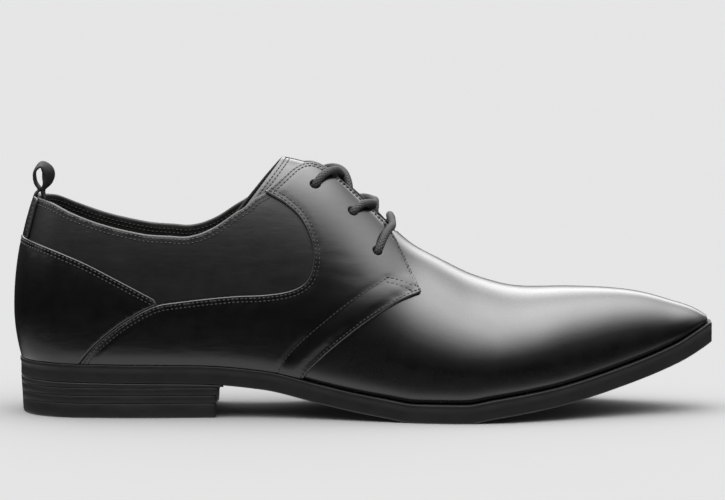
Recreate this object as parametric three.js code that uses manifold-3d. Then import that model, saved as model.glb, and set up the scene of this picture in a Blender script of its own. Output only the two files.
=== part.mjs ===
// A black leather derby dress shoe for the right foot, empty and laced, standing on its heel and forefoot.
// Millimetres. +X points to the toe, +Y to the inner (medial) side, +Z up. The floor is at z = 0.
// The origin is on the floor, in the middle of the heel's flat base.
import * as THREE from "three";
import { mergeVertices } from "three/addons/utils/BufferGeometryUtils.js";
import Module from "manifold-3d";

const wasm = await Module();
wasm.setup();

// Driving dimensions of the last and the sole.
const SHOE_LENGTH = 305; // outsole, from the back of the heel to the toe tip
const BALL_WIDTH = 102.5; // outsole, across the ball of the foot
const HEEL_HEIGHT = 15.9; // floor to the outsole's underside at the back
const HEEL_LENGTH = 90; // back of the shoe to the heel's breast
const SOLE_THICKNESS = 8; // the outsole's edge
const TOE_SPRING = 30; // floor to the outsole's underside at the toe tip
const INSTEP_RISE = 95; // sole's top to the instep ridge where the facings end
const BACK_HEIGHT = 70; // sole's top to the collar at the back seam
const HEEL_CENTRE = 35; // back of the shoe to the middle of the round heel end
const HEEL_BULGE = 22; // height above the sole at which the heel's back reaches furthest
const COLLAR_LEAN = 8.5; // how far the back seam leans in at the collar
const HEEL_TUCK = 3.2; // how far the back seam is drawn in at the sole
const SOLE_BACK = 2.6; // back of the shoe to the sole's edge, under the bulge of the heel

// Thicknesses and clearances.
const UPPER_WALL = 2; // upper leather and lining together
const OVERLAY_WALL = 1.2; // quarters and counter, laid over the upper
const TONGUE_WALL = 2.2;
const INSOLE_THICKNESS = 2.5;
const GAP = 0.3; // between neighbouring pieces
const TOE_EDGE = 2.5; // outsole showing beyond the upper at the toe
const FEATHER_TUCK = 1.6; // how far the upper is drawn in where it meets the sole

// Facings, eyelets and laces.
const FACING_GAP = 17; // between the two facings beside the laces
const QUARTER_FLARE = 27.5; // how far each facing swings out beside the vamp
const THROAT_END = 167; // back of the shoe to the end of the slot under the laces
const TONGUE_WIDTH = 50;
const TONGUE_REACH = 188; // back of the shoe to the tongue's hidden front end
const TONGUE_TIP = 117.5; // back of the shoe to the tongue's tip
const TONGUE_WING = 30; // how far the tip's edge runs down on each side
const TONGUE_DEPTH = 62; // height that the tongue spans
const LACE_DIAMETER = 3.4;
const EYELET_DIAMETER = 4;
const LACE_ARCH = 0.2; // how far a slack lace stands over the facings

// Heel lifts and sole edge.
const LIFT_HEIGHT = 3.4; // one lift of the stacked heel
const TOP_PIECE = 6.4; // the lowest lift, which meets the floor
const LIFT_GROOVE = 0.4;
const EDGE_BEVEL = 0.9;
const RIM_LIP = 1.5; // height of the lip along the sole's top edge
const RIM_STEP = 0.35; // how far that lip stands out

// Back strap and pull loop.
const STRAP_WIDTH = 10.5;
const STRAP_THICKNESS = 1.3;
const LOOP_HEIGHT = 13.6; // above the collar
const LOOP_WIDTH = 7.2;

// The outsole's outline. x is a share of the length, the half widths are shares of the ball width.
const SOLE_OUTLINE = [
  { x: 0.115, lateral: 0.307, medial: 0.307 },
  { x: 0.18, lateral: 0.316, medial: 0.306 },
  { x: 0.295, lateral: 0.302, medial: 0.262 },
  { x: 0.36, lateral: 0.31, medial: 0.256 },
  { x: 0.44, lateral: 0.36, medial: 0.31 },
  { x: 0.54, lateral: 0.442, medial: 0.425 },
  { x: 0.6, lateral: 0.484, medial: 0.482 },
  { x: 0.64, lateral: 0.495, medial: 0.503 },
  { x: 0.69, lateral: 0.483, medial: 0.507 },
  { x: 0.75, lateral: 0.425, medial: 0.467 },
  { x: 0.82, lateral: 0.328, medial: 0.388 },
  { x: 0.89, lateral: 0.225, medial: 0.292 },
  { x: 0.94, lateral: 0.156, medial: 0.225 },
  { x: 0.972, lateral: 0.111, medial: 0.179 },
  { x: 0.991, lateral: 0.07, medial: 0.136 },
  { x: 1, lateral: 0.034, medial: 0.096 },
];

// The outsole's underside. heel is a share of the heel height, toe a share of the toe spring.
const SOLE_LINE = [
  { x: 0, heel: 1, toe: 0 },
  { x: 0.12, heel: 0.96, toe: 0 },
  { x: 0.27, heel: 0.92, toe: 0 },
  { x: 0.354, heel: 0.786, toe: 0 },
  { x: 0.44, heel: 0.43, toe: 0 },
  { x: 0.482, heel: 0.265, toe: 0 },
  { x: 0.525, heel: 0.13, toe: 0 },
  { x: 0.575, heel: 0, toe: 0 },
  { x: 0.645, heel: 0, toe: 0 },
  { x: 0.69, heel: 0, toe: 0.07 },
  { x: 0.777, heel: 0, toe: 0.205 },
  { x: 0.862, heel: 0, toe: 0.42 },
  { x: 0.95, heel: 0, toe: 0.73 },
  { x: 1, heel: 0, toe: 1 },
];

// The ridge of the last above the sole's top, as a share of the instep rise. Behind the facings it
// is the top of the last's cone, which the collar cuts away.
const RIDGE_LINE = [
  { x: 0.1, rise: 1.1 },
  { x: 0.26, rise: 1.07 },
  { x: 0.387, rise: 0.99 },
  { x: 0.42, rise: 0.992 },
  { x: 0.44, rise: 0.98 },
  { x: 0.46, rise: 0.945 },
  { x: 0.482, rise: 0.892 },
  { x: 0.538, rise: 0.753 },
  { x: 0.567, rise: 0.679 },
  { x: 0.61, rise: 0.606 },
  { x: 0.668, rise: 0.509 },
  { x: 0.697, rise: 0.464 },
  { x: 0.725, rise: 0.437 },
  { x: 0.78, rise: 0.409 },
  { x: 0.839, rise: 0.359 },
  { x: 0.897, rise: 0.283 },
  { x: 0.954, rise: 0.158 },
  { x: 0.975, rise: 0.1 },
  { x: 0.9918, rise: 0.035 },
];

// The section's form along the shoe. square is the superellipse power over the widest line, widest
// is that line's height as a share of the section's height, edge is the sole that shows beyond the
// upper on each side and ridge the ridge's place towards the inner side, shares of the ball width.
const SECTION_FORM = [
  { x: 0.1, square: 1.95, widest: 0.2, lateralEdge: 0.002, medialEdge: 0.002, ridge: 0 },
  { x: 0.3, square: 1.9, widest: 0.2, lateralEdge: 0.004, medialEdge: -0.012, ridge: 0.004 },
  { x: 0.39, square: 2.1, widest: 0.2, lateralEdge: 0.008, medialEdge: -0.008, ridge: 0.01 },
  { x: 0.47, square: 2.1, widest: 0.21, lateralEdge: 0.012, medialEdge: -0.004, ridge: 0.018 },
  { x: 0.58, square: 1.95, widest: 0.23, lateralEdge: 0.02, medialEdge: 0.016, ridge: 0.026 },
  { x: 0.7, square: 2.05, widest: 0.23, lateralEdge: 0.022, medialEdge: 0.022, ridge: 0.03 },
  { x: 0.8, square: 2.25, widest: 0.21, lateralEdge: 0.022, medialEdge: 0.022, ridge: 0.03 },
  { x: 1, square: 2.3, widest: 0.2, lateralEdge: 0.016, medialEdge: 0.016, ridge: 0.03 },
];

// The collar seen from the side, above the sole's top. back is a share of the back height and
// instep a share of the instep rise.
const COLLAR_LINE = [
  { x: -0.05, back: 1.01, instep: 0 },
  { x: 0.03, back: 1.008, instep: 0 },
  { x: 0.052, back: 0.995, instep: 0 },
  { x: 0.085, back: 0.938, instep: 0 },
  { x: 0.125, back: 0.877, instep: 0 },
  { x: 0.163, back: 0.836, instep: 0 },
  { x: 0.2, back: 0.809, instep: 0 },
  { x: 0.239, back: 0.8, instep: 0 },
  { x: 0.264, back: 0.61, instep: 0.15 },
  { x: 0.289, back: 0.43, instep: 0.319 },
  { x: 0.315, back: 0.24, instep: 0.521 },
  { x: 0.341, back: 0, instep: 0.765 },
  { x: 0.362, back: 0, instep: 0.815 },
  { x: 0.387, back: 0, instep: 0.895 },
  { x: 0.405, back: 0, instep: 0.962 },
  { x: 0.418, back: 0, instep: 1.03 },
  { x: 0.44, back: 0, instep: 1.2 },
];

// Seams seen from the side. up is a share of the section's height.
const PANEL_SEAM = [
  { x: 0.335, up: 0.835 },
  { x: 0.364, up: 0.803 },
  { x: 0.389, up: 0.778 },
  { x: 0.412, up: 0.728 },
  { x: 0.427, up: 0.64 },
  { x: 0.43, up: 0.555 },
  { x: 0.422, up: 0.465 },
  { x: 0.4, up: 0.4 },
  { x: 0.363, up: 0.352 },
  { x: 0.312, up: 0.314 },
  { x: 0.239, up: 0.271 },
  { x: 0.203, up: 0.248 },
  { x: 0.163, up: 0.182 },
  { x: 0.124, up: 0.089 },
  { x: 0.1, up: 0.01 },
  { x: 0.09, up: -0.06 },
];
const COUNTER_SEAM = [
  { x: -0.06, up: 0.533 },
  { x: 0.015, up: 0.511 },
  { x: 0.087, up: 0.445 },
  { x: 0.16, up: 0.345 },
  { x: 0.235, up: 0.232 },
];
const VAMP_SEAM = [
  { x: 0.405, up: -0.08 },
  { x: 0.419, up: 0.024 },
  { x: 0.44, up: 0.117 },
  { x: 0.47, up: 0.239 },
  { x: 0.506, up: 0.399 },
  { x: 0.549, up: 0.607 },
  { x: 0.586, up: 0.762 },
  { x: 0.6, up: 0.8 },
];

// The facings' edges seen from above. flare is a share of the quarters' flare.
const FACING_EDGE = [
  { x: 0.3, flare: 0 },
  { x: 0.49, flare: 0 },
  { x: 0.515, flare: 0.05 },
  { x: 0.53, flare: 0.12 },
  { x: 0.543, flare: 0.28 },
  { x: 0.552, flare: 0.45 },
  { x: 0.564, flare: 0.67 },
  { x: 0.574, flare: 0.85 },
  { x: 0.583, flare: 1 },
  { x: 0.6, flare: 1.2 },
];

// The three eyelets of a side, from the top one down.
const EYELETS = [
  { x: 0.431, up: 0.897 },
  { x: 0.483, up: 0.895 },
  { x: 0.519, up: 0.804 },
];

// How finely the forms are cut into facets.
const HEEL_STEPS = 7;
const SECTION_STEPS = 9;
const FORM_STATIONS = [
  0.115, 0.16, 0.21, 0.26, 0.31, 0.35, 0.38, 0.41, 0.44, 0.47, 0.5, 0.53, 0.56, 0.59, 0.625, 0.66, 0.7, 0.74,
  0.78, 0.82, 0.86, 0.895, 0.925, 0.95, 0.968, 0.982, 0.9918,
];

// A smooth curve through a table's rows that never overshoots them, at share x of the length.
function along(table, column, x) {
  const last = table.length - 1;
  if (x <= table[0].x) return table[0][column];
  if (x >= table[last].x) return table[last][column];
  let i = 0;
  while (x > table[i + 1].x) i += 1;
  const width = (k) => table[k + 1].x - table[k].x;
  const slope = (k) => (table[k + 1][column] - table[k][column]) / width(k);
  const tangent = (k) => {
    if (k === 0) return slope(0);
    if (k === last) return slope(last - 1);
    const before = slope(k - 1);
    const after = slope(k);
    if (before * after <= 0) return 0;
    const w1 = 2 * width(k) + width(k - 1);
    const w2 = width(k) + 2 * width(k - 1);
    return (w1 + w2) / (w1 / before + w2 / after);
  };
  const h = width(i);
  const t = (x - table[i].x) / h;
  const rise = t * t * (3 - 2 * t);
  return (
    table[i][column] * (1 - rise) +
    table[i + 1][column] * rise +
    h * tangent(i) * t * (1 - t) * (1 - t) -
    h * tangent(i + 1) * t * t * (1 - t)
  );
}

// Radius of a unit superellipse in the direction of an angle.
function superellipse(angle, power) {
  const total = Math.abs(Math.cos(angle)) ** power + Math.abs(Math.sin(angle)) ** power;
  return total ** (-1 / power);
}

// The outsole's underside and top at a distance x from the back of the shoe.
function soleBottom(x) {
  const share = x / SHOE_LENGTH;
  return HEEL_HEIGHT * along(SOLE_LINE, "heel", share) + TOE_SPRING * along(SOLE_LINE, "toe", share);
}
function soleTop(x) {
  const step = 1;
  const slope = (soleBottom(x + step) - soleBottom(x - step)) / (2 * step);
  return soleBottom(x) + SOLE_THICKNESS * Math.hypot(1, slope);
}

// The outsole's half width at x on the lateral (-1) or medial (1) side.
function soleHalfWidth(x, side) {
  return BALL_WIDTH * along(SOLE_OUTLINE, side < 0 ? "lateral" : "medial", x / SHOE_LENGTH);
}

// How far the heel's back seam lies from the back of the shoe at height z.
const HEEL_POWER = 2.2;
function backSeam(z) {
  const middle = soleTop(0) + HEEL_BULGE;
  const above = soleTop(0) + BACK_HEIGHT - middle;
  const lean = z > middle ? COLLAR_LEAN / above ** 2 : HEEL_TUCK / HEEL_BULGE ** 2;
  return GAP + OVERLAY_WALL + lean * (z - middle) ** 2;
}

// The last's section at x. q runs from -1 at the lateral sole edge, over the ridge at 0, to 1.
const SIDE_SHARE = 0.28; // share of q below the section's widest line
function sectionPoint(x, q) {
  const share = x / SHOE_LENGTH;
  const side = q < 0 ? -1 : 1;
  const form = (column) => along(SECTION_FORM, column, share);
  const low = soleTop(x) + GAP;
  const rise = INSTEP_RISE * along(RIDGE_LINE, "rise", share);
  const widest = low + form("widest") * rise;
  const ridge = BALL_WIDTH * form("ridge");
  const toeShift = TOE_EDGE * THREE.MathUtils.smoothstep(share, 0.7, 0.99);
  const edge = BALL_WIDTH * form(side < 0 ? "lateralEdge" : "medialEdge");
  const half = soleHalfWidth(x + toeShift, side) - edge - side * ridge;
  const p = Math.abs(q);
  if (p > 1 - SIDE_SHARE) {
    const t = (p - 1 + SIDE_SHARE) / SIDE_SHARE;
    const tuck = Math.min(FEATHER_TUCK, half / 3) * (0.35 * t ** 2 + 0.65 * t ** 8);
    return new THREE.Vector3(x, ridge + side * (half - tuck), widest + (low - widest) * t);
  }
  const angle = (Math.PI / 2) * (1 - p / (1 - SIDE_SHARE));
  const radius = superellipse(angle, form("square"));
  return new THREE.Vector3(
    x,
    ridge + side * half * radius * Math.cos(angle),
    widest + (low + rise - widest) * radius * Math.sin(angle),
  );
}

// The last's surface. s is a distance in front of the heel's centre, and behind it an angle in
// degrees, down to -90 at the back seam.
const BACK_SEAM = -90;
function lastPoint(s, q) {
  if (s >= 0) return sectionPoint(HEEL_CENTRE + s, q);
  const section = sectionPoint(HEEL_CENTRE, q);
  const angle = THREE.MathUtils.degToRad(-s);
  const radius = superellipse(angle, HEEL_POWER);
  const depth = HEEL_CENTRE - backSeam(section.z);
  return new THREE.Vector3(
    HEEL_CENTRE - depth * radius * Math.sin(angle),
    section.y * radius * Math.cos(angle),
    section.z,
  );
}

// A point a distance outside the last's surface, never lower than the sole's top.
function formPoint(s, q, offset) {
  const ds = 0.4;
  const dq = 0.004;
  const end = FORM_STATIONS.at(-1) * SHOE_LENGTH - HEEL_CENTRE;
  const alongLast = lastPoint(Math.min(s + ds, end), q).sub(lastPoint(Math.max(s - ds, BACK_SEAM), q));
  const acrossLast = lastPoint(s, Math.min(q + dq, 1)).sub(lastPoint(s, Math.max(q - dq, -1)));
  const normal = alongLast.cross(acrossLast).normalize();
  const point = lastPoint(s, q).addScaledVector(normal, offset);
  if (s === BACK_SEAM) point.y = 0;
  point.z = Math.max(point.z, soleTop(point.x) + GAP);
  return { point, normal };
}

// The value of q on one side at which the section reaches a share of its height, or a distance
// from the ridge.
function qAtHeight(x, up, side) {
  const low = soleTop(x) + GAP;
  const target = low + up * INSTEP_RISE * along(RIDGE_LINE, "rise", x / SHOE_LENGTH);
  let [near, far] = [0, 1];
  for (let i = 0; i < 40; i += 1) {
    const middle = (near + far) / 2;
    if (sectionPoint(x, side * middle).z > target) near = middle;
    else far = middle;
  }
  return side * near;
}
function qAtWidth(x, distance, side) {
  const ridge = sectionPoint(x, 0).y;
  let [near, far] = [0, 1 - SIDE_SHARE];
  for (let i = 0; i < 40; i += 1) {
    const middle = (near + far) / 2;
    if (Math.abs(sectionPoint(x, side * middle).y - ridge) < distance) near = middle;
    else far = middle;
  }
  return side * near;
}

// Solids. A geometry with its shared vertices merged becomes a solid, and a solid a geometry.
function solidOf(geometry) {
  const bare = geometry.index ? geometry.toNonIndexed() : geometry.clone();
  bare.deleteAttribute("normal");
  bare.deleteAttribute("uv");
  const merged = mergeVertices(bare, 1e-4);
  const index = merged.index.array;
  const triangles = [];
  for (let i = 0; i < index.length; i += 3) {
    const [a, b, c] = [index[i], index[i + 1], index[i + 2]];
    if (a !== b && b !== c && c !== a) triangles.push(a, b, c);
  }
  const build = (triVerts) =>
    new wasm.Manifold(
      new wasm.Mesh({ numProp: 3, vertProperties: merged.attributes.position.array, triVerts: Uint32Array.from(triVerts) }),
    );
  const solid = build(triangles);
  return solid.volume() > 0 ? solid : build(triangles.reverse());
}
function geometryOf(solid) {
  const { vertProperties, triVerts } = solid.getMesh();
  const geometry = new THREE.BufferGeometry();
  geometry.setAttribute("position", new THREE.BufferAttribute(Float32Array.from(vertProperties), 3));
  geometry.setIndex(new THREE.BufferAttribute(Uint32Array.from(triVerts), 1));
  geometry.computeVertexNormals();
  return geometry;
}

// A closed skin over rings of points, with a flat cap where an end ring isn't drawn to a seam.
function loftRings(rings, capStart, capEnd) {
  const positions = [];
  const face = (a, b, c) => positions.push(...a.toArray(), ...b.toArray(), ...c.toArray());
  const count = rings[0].length;
  for (let i = 0; i + 1 < rings.length; i += 1) {
    for (let j = 0; j < count; j += 1) {
      const k = (j + 1) % count;
      face(rings[i][j], rings[i + 1][j], rings[i + 1][k]);
      face(rings[i][j], rings[i + 1][k], rings[i][k]);
    }
  }
  const cap = (ring, turned) => {
    const centre = ring.reduce((sum, p) => sum.add(p), new THREE.Vector3()).divideScalar(count);
    for (let j = 0; j < count; j += 1) {
      const [a, b] = [ring[j], ring[(j + 1) % count]];
      if (turned) face(centre, b, a);
      else face(centre, a, b);
    }
  };
  if (capStart) cap(rings[0], false);
  if (capEnd) cap(rings.at(-1), true);
  const geometry = new THREE.BufferGeometry();
  geometry.setAttribute("position", new THREE.Float32BufferAttribute(positions, 3));
  return geometry;
}

// The places along the last at which its form is cut into rings.
function formPlaces() {
  const heel = Array.from({ length: HEEL_STEPS }, (_, i) => BACK_SEAM * (1 - i / HEEL_STEPS));
  return [...heel, ...FORM_STATIONS.map((share) => Math.max(share * SHOE_LENGTH - HEEL_CENTRE, 0))];
}

// The last's form, grown or shrunk by an offset. An open one runs on down through the sole, so that
// cutting it away leaves a form open underneath.
const OPEN_DEPTH = 25;
function lastForm(offset, open) {
  const steps = 2 * SECTION_STEPS;
  const rings = formPlaces().map((s) => {
    const ring = Array.from({ length: steps + 1 }, (_, j) => formPoint(s, -1 + j / SECTION_STEPS, offset).point);
    if (!open) return ring;
    const below = (point) => point.clone().setZ(point.z - OPEN_DEPTH);
    return [below(ring[0]), ...ring, below(ring[steps])];
  });
  return solidOf(loftRings(rings, false, true));
}

// A prism through the shoe whose outline is drawn from the side, between two values of y.
function sidePrism(outline, yLow, yHigh) {
  const shape = new THREE.Shape(outline.map(([x, z]) => new THREE.Vector2(x, z)));
  const geometry = new THREE.ExtrudeGeometry(shape, { depth: yHigh - yLow, bevelEnabled: false });
  return solidOf(geometry.rotateX(Math.PI / 2).translate(0, yHigh, 0));
}

// A prism whose outline is drawn from above, between two heights.
function topPrism(outline, zLow, zHigh) {
  const shape = new THREE.Shape(outline.map(([x, y]) => new THREE.Vector2(x, y)));
  const geometry = new THREE.ExtrudeGeometry(shape, { depth: zHigh - zLow, bevelEnabled: false });
  return solidOf(geometry.translate(0, 0, zLow));
}

const SIDE_LIMIT = 80;
const TOP_LIMIT = 190;

// Smooths a short list of points into a line of even steps.
function smoothLine(points, steps) {
  const curve = new THREE.SplineCurve(points.map(([x, y]) => new THREE.Vector2(x, y)));
  return curve.getPoints(steps).map((p) => [p.x, p.y]);
}

// A line moved sideways, to the left of its direction.
function shiftedLine(line, distance) {
  return line.map(([x, y], i) => {
    const [x0, y0] = line[Math.max(i - 1, 0)];
    const [x1, y1] = line[Math.min(i + 1, line.length - 1)];
    const length = Math.hypot(x1 - x0, y1 - y0);
    return [x - ((y1 - y0) / length) * distance, y + ((x1 - x0) / length) * distance];
  });
}

// A seam's table as a line seen from the side.
function seamLine(table, steps) {
  const points = table.map((row) => {
    const x = row.x * SHOE_LENGTH;
    const section = Math.max(x, HEEL_CENTRE);
    const rise = INSTEP_RISE * along(RIDGE_LINE, "rise", section / SHOE_LENGTH);
    return [x, soleTop(section) + GAP + row.up * rise];
  });
  return smoothLine(points, steps);
}

// Everything above the collar.
const COLLAR_STEPS = 30;
function aboveCollar() {
  const first = COLLAR_LINE[0].x;
  const last = COLLAR_LINE.at(-1).x;
  const line = Array.from({ length: COLLAR_STEPS + 1 }, (_, i) => {
    const share = first + ((last - first) * i) / COLLAR_STEPS;
    const height =
      BACK_HEIGHT * along(COLLAR_LINE, "back", share) + INSTEP_RISE * along(COLLAR_LINE, "instep", share);
    return [share * SHOE_LENGTH, soleTop(share * SHOE_LENGTH) + height];
  });
  return sidePrism([...line, [last * SHOE_LENGTH, TOP_LIMIT], [first * SHOE_LENGTH, TOP_LIMIT]], -SIDE_LIMIT, SIDE_LIMIT);
}

// The slot between the facings, drawn from above about the ridge. widen adds to each half.
const FACING_STEPS = 18;
function betweenFacings(widen, reach) {
  const first = FACING_EDGE[0].x;
  const last = Math.min(FACING_EDGE.at(-1).x, reach / SHOE_LENGTH);
  const shares = Array.from({ length: FACING_STEPS + 1 }, (_, i) => first + ((last - first) * i) / FACING_STEPS);
  const edge = (share, side) => {
    const x = share * SHOE_LENGTH;
    const half = FACING_GAP / 2 + QUARTER_FLARE * along(FACING_EDGE, "flare", share) + widen;
    return [x, sectionPoint(x, 0).y + side * half];
  };
  const outline = [...shares.map((t) => edge(t, -1)), ...shares.reverse().map((t) => edge(t, 1))];
  return topPrism(outline, soleTop(THROAT_END) + SOLE_THICKNESS, TOP_LIMIT);
}

// The slot cut in the upper itself under the laces, with a round end.
function throatSlot() {
  const half = FACING_GAP / 2;
  const centreX = THROAT_END - half;
  const ridge = sectionPoint(centreX, 0).y;
  const turns = Array.from({ length: 9 }, (_, i) => -Math.PI / 2 + (Math.PI * i) / 8);
  const round = turns.map((a) => [centreX + half * Math.cos(a), ridge + half * Math.sin(a)]);
  const back = FACING_EDGE[0].x * SHOE_LENGTH;
  const backRidge = sectionPoint(back, 0).y;
  return topPrism([[back, backRidge - half], ...round, [back, backRidge + half]], soleTop(THROAT_END) + SOLE_THICKNESS, TOP_LIMIT);
}

// The eyelets' places on the outside of a quarter.
function eyeletPlace(row, side) {
  const x = row.x * SHOE_LENGTH;
  return formPoint(x - HEEL_CENTRE, qAtHeight(x, row.up, side), GAP + OVERLAY_WALL);
}
function eyeletHoles(side) {
  const depth = 14;
  return EYELETS.map((row) => {
    const { point, normal } = eyeletPlace(row, side);
    const hole = new THREE.CylinderGeometry(EYELET_DIAMETER / 2, EYELET_DIAMETER / 2, depth, 10);
    const turn = new THREE.Quaternion().setFromUnitVectors(new THREE.Vector3(0, 1, 0), normal);
    return solidOf(hole.applyQuaternion(turn).translate(point.x, point.y, point.z));
  });
}
function cutAll(solid, cutters) {
  return cutters.reduce((rest, cutter) => rest.subtract(cutter), solid);
}

// The upper: vamp and side panels in one hollow wall, open at the collar, the throat and below.
function upper() {
  const wall = lastForm(0, false).subtract(lastForm(-UPPER_WALL, true));
  return cutAll(wall, [aboveCollar(), throatSlot(), ...eyeletHoles(-1), ...eyeletHoles(1)]);
}

// A layer of leather laid over the upper.
function overlayLayer() {
  return lastForm(GAP + OVERLAY_WALL, false).subtract(lastForm(GAP, true));
}

// A quarter: the facing with its eyelets, and the band that runs back low along the side.
const SEAM_STEPS = 30;
function quarter(side) {
  const back = seamLine(PANEL_SEAM, SEAM_STEPS);
  const front = seamLine(VAMP_SEAM, SEAM_STEPS);
  const outline = [...back, ...front, [front.at(-1)[0], TOP_LIMIT], [back[0][0], TOP_LIMIT]];
  const [yLow, yHigh] = side < 0 ? [-SIDE_LIMIT, 0] : [0, SIDE_LIMIT];
  const layer = overlayLayer().intersect(sidePrism(outline, yLow, yHigh));
  return cutAll(layer, [betweenFacings(0, SHOE_LENGTH), aboveCollar(), ...eyeletHoles(side)]);
}

// The counter, which wraps the heel from side to side behind the two quarters.
function counter() {
  const top = seamLine(COUNTER_SEAM, SEAM_STEPS);
  const meeting = COUNTER_SEAM.at(-1).x * SHOE_LENGTH;
  const front = shiftedLine(seamLine(PANEL_SEAM, SEAM_STEPS), -GAP).filter(([x]) => x < meeting);
  const outline = [...top.filter(([x]) => x < front[0][0]), ...front, [top[0][0], 0]];
  return overlayLayer().intersect(sidePrism(outline, -SIDE_LIMIT, SIDE_LIMIT));
}

// The tongue, under the facings and the front of the throat, with its tip above the collar.
const TONGUE_LEAN = 0.75; // how far the tip's edge falls back for its height
function tongue() {
  const outer = UPPER_WALL + GAP;
  const layer = lastForm(-outer, false).subtract(lastForm(-outer - TONGUE_WALL, true));
  const tipHeight = sectionPoint(TONGUE_TIP, 0).z;
  const low = tipHeight - TONGUE_DEPTH;
  const wingX = TONGUE_TIP - TONGUE_LEAN * TONGUE_WING;
  const side = [
    [TONGUE_TIP, tipHeight],
    [wingX, tipHeight - TONGUE_WING],
    [wingX, low],
    [TONGUE_REACH, low],
    [TONGUE_REACH, TOP_LIMIT],
    [TONGUE_TIP, TOP_LIMIT],
  ];
  const half = TONGUE_WIDTH / 2;
  const ridge = sectionPoint(TONGUE_REACH, 0).y;
  const plan = [
    [wingX, -half],
    [TONGUE_REACH, ridge - half * 0.8],
    [TONGUE_REACH, ridge + half * 0.8],
    [wingX, half],
  ];
  return layer.intersect(sidePrism(side, -SIDE_LIMIT, SIDE_LIMIT)).intersect(topPrism(plan, 0, TOP_LIMIT));
}

// The insole, a sheet that fills the upper's floor.
const INSOLE_END = 0.945; // share of the length
function insole() {
  const places = formPlaces().filter((s) => s + HEEL_CENTRE <= INSOLE_END * SHOE_LENGTH);
  const rings = places.map((s) => {
    const edge = (q) => formPoint(s, q, -UPPER_WALL - 2 * GAP).point;
    const [lateral, medial] = [edge(-1), edge(1)];
    const at = (point, height) => point.clone().setZ(soleTop(point.x) + GAP + height);
    return [at(lateral, 0), at(lateral, INSOLE_THICKNESS), at(medial, INSOLE_THICKNESS), at(medial, 0)];
  });
  return solidOf(loftRings(rings, false, true));
}

// The sole's outline as a function of place along it, drawn in by an inset.
function solePoint(s, side, inset) {
  if (s >= 0) return [HEEL_CENTRE + s, side * (soleHalfWidth(HEEL_CENTRE + s, side) - inset)];
  const angle = THREE.MathUtils.degToRad(-s);
  const radius = superellipse(angle, HEEL_POWER);
  const depth = HEEL_CENTRE - SOLE_BACK - inset;
  const half = soleHalfWidth(HEEL_CENTRE, side) - inset;
  return [HEEL_CENTRE - depth * radius * Math.sin(angle), side * half * radius * Math.cos(angle)];
}

// The outsole: one thickness from heel to toe, with a lip round its top edge and a worn lower edge.
const SOLE_STATIONS = [
  0.115, 0.17, 0.23, 0.28, 0.33, 0.37, 0.41, 0.45, 0.49, 0.53, 0.575, 0.61, 0.645, 0.68, 0.72, 0.76, 0.8, 0.84,
  0.88, 0.915, 0.945, 0.968, 0.984, 0.994, 1,
];
function outsole() {
  const heel = Array.from({ length: HEEL_STEPS + 2 }, (_, i) => BACK_SEAM * (1 - i / (HEEL_STEPS + 2)));
  const places = [...heel, ...SOLE_STATIONS.map((share) => Math.max(share * SHOE_LENGTH - HEEL_CENTRE, 0))];
  const rings = places.map((s) => {
    const [edgeX] = solePoint(s, -1, 0);
    const [low, high] = [soleBottom(edgeX), soleTop(edgeX)];
    const profile = [
      [EDGE_BEVEL + RIM_STEP, low],
      [RIM_STEP, low + EDGE_BEVEL],
      [RIM_STEP, high - RIM_LIP - RIM_STEP],
      [0, high - RIM_LIP],
      [0, high],
    ];
    const edge = (side) =>
      profile.map(([inset, z]) => {
        const [, y] = solePoint(s, side, Math.min(inset, soleHalfWidth(edgeX, side) / 2));
        const [x] = solePoint(s, side, inset);
        return new THREE.Vector3(x, s === BACK_SEAM ? 0 : y, z);
      });
    return [...edge(-1), ...edge(1).reverse()];
  });
  return solidOf(loftRings(rings, false, true));
}

// The heel: lifts stacked under the seat, each edge a shallow groove, drawn in towards the floor.
const HEEL_TAPER = 0.9;
const BREAST_BOW = 3; // how far the heel's front is hollowed
const BREAST_FLARE = 2.6; // how far the heel's front spreads under the sole
const HEEL_SIDE_STEPS = 3;
const BREAST_STEPS = 4;
function heelOutline(inset, flare) {
  const straight = (HEEL_LENGTH - HEEL_CENTRE - inset + flare) / HEEL_SIDE_STEPS;
  const sides = Array.from({ length: HEEL_SIDE_STEPS + 1 }, (_, i) => straight * (HEEL_SIDE_STEPS - i));
  const round = Array.from({ length: HEEL_STEPS + 1 }, (_, i) => (BACK_SEAM * (i + 1)) / (HEEL_STEPS + 1));
  const lateral = [...sides, ...round].map((s) => solePoint(s, -1, inset));
  const medial = [...sides, ...round.slice(0, -1)].map((s) => solePoint(s, 1, inset)).reverse();
  const [from, to] = [medial.at(-1), lateral[0]];
  const breast = Array.from({ length: BREAST_STEPS - 1 }, (_, i) => {
    const t = (i + 1) / BREAST_STEPS;
    return [from[0] - BREAST_BOW * 4 * t * (1 - t), from[1] + (to[1] - from[1]) * t];
  });
  return [...lateral, ...medial, ...breast];
}
function heel() {
  const levels = [{ z: 0, inset: EDGE_BEVEL }, { z: EDGE_BEVEL, inset: 0 }];
  const lifts = Math.floor((HEEL_HEIGHT * 0.9 - TOP_PIECE) / LIFT_HEIGHT);
  for (let i = 0; i <= lifts; i += 1) {
    const z = TOP_PIECE + i * LIFT_HEIGHT;
    levels.push({ z: z - LIFT_GROOVE, inset: 0 }, { z, inset: LIFT_GROOVE }, { z: z + LIFT_GROOVE, inset: 0 });
  }
  const taper = (z) => RIM_STEP + HEEL_TAPER * (1 - z / HEEL_HEIGHT);
  const flare = (z) => BREAST_FLARE * Math.max((2 * z) / HEEL_HEIGHT - 1, 0) ** 2;
  const rings = levels.map(({ z, inset }) =>
    heelOutline(inset + taper(z), flare(z)).map(([x, y]) => new THREE.Vector3(x, y, z)),
  );
  const top = heelOutline(RIM_STEP, BREAST_FLARE);
  rings.push(top.map(([x, y]) => new THREE.Vector3(x, y, soleBottom(x) - GAP)));
  return solidOf(loftRings(rings, true, true));
}

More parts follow.
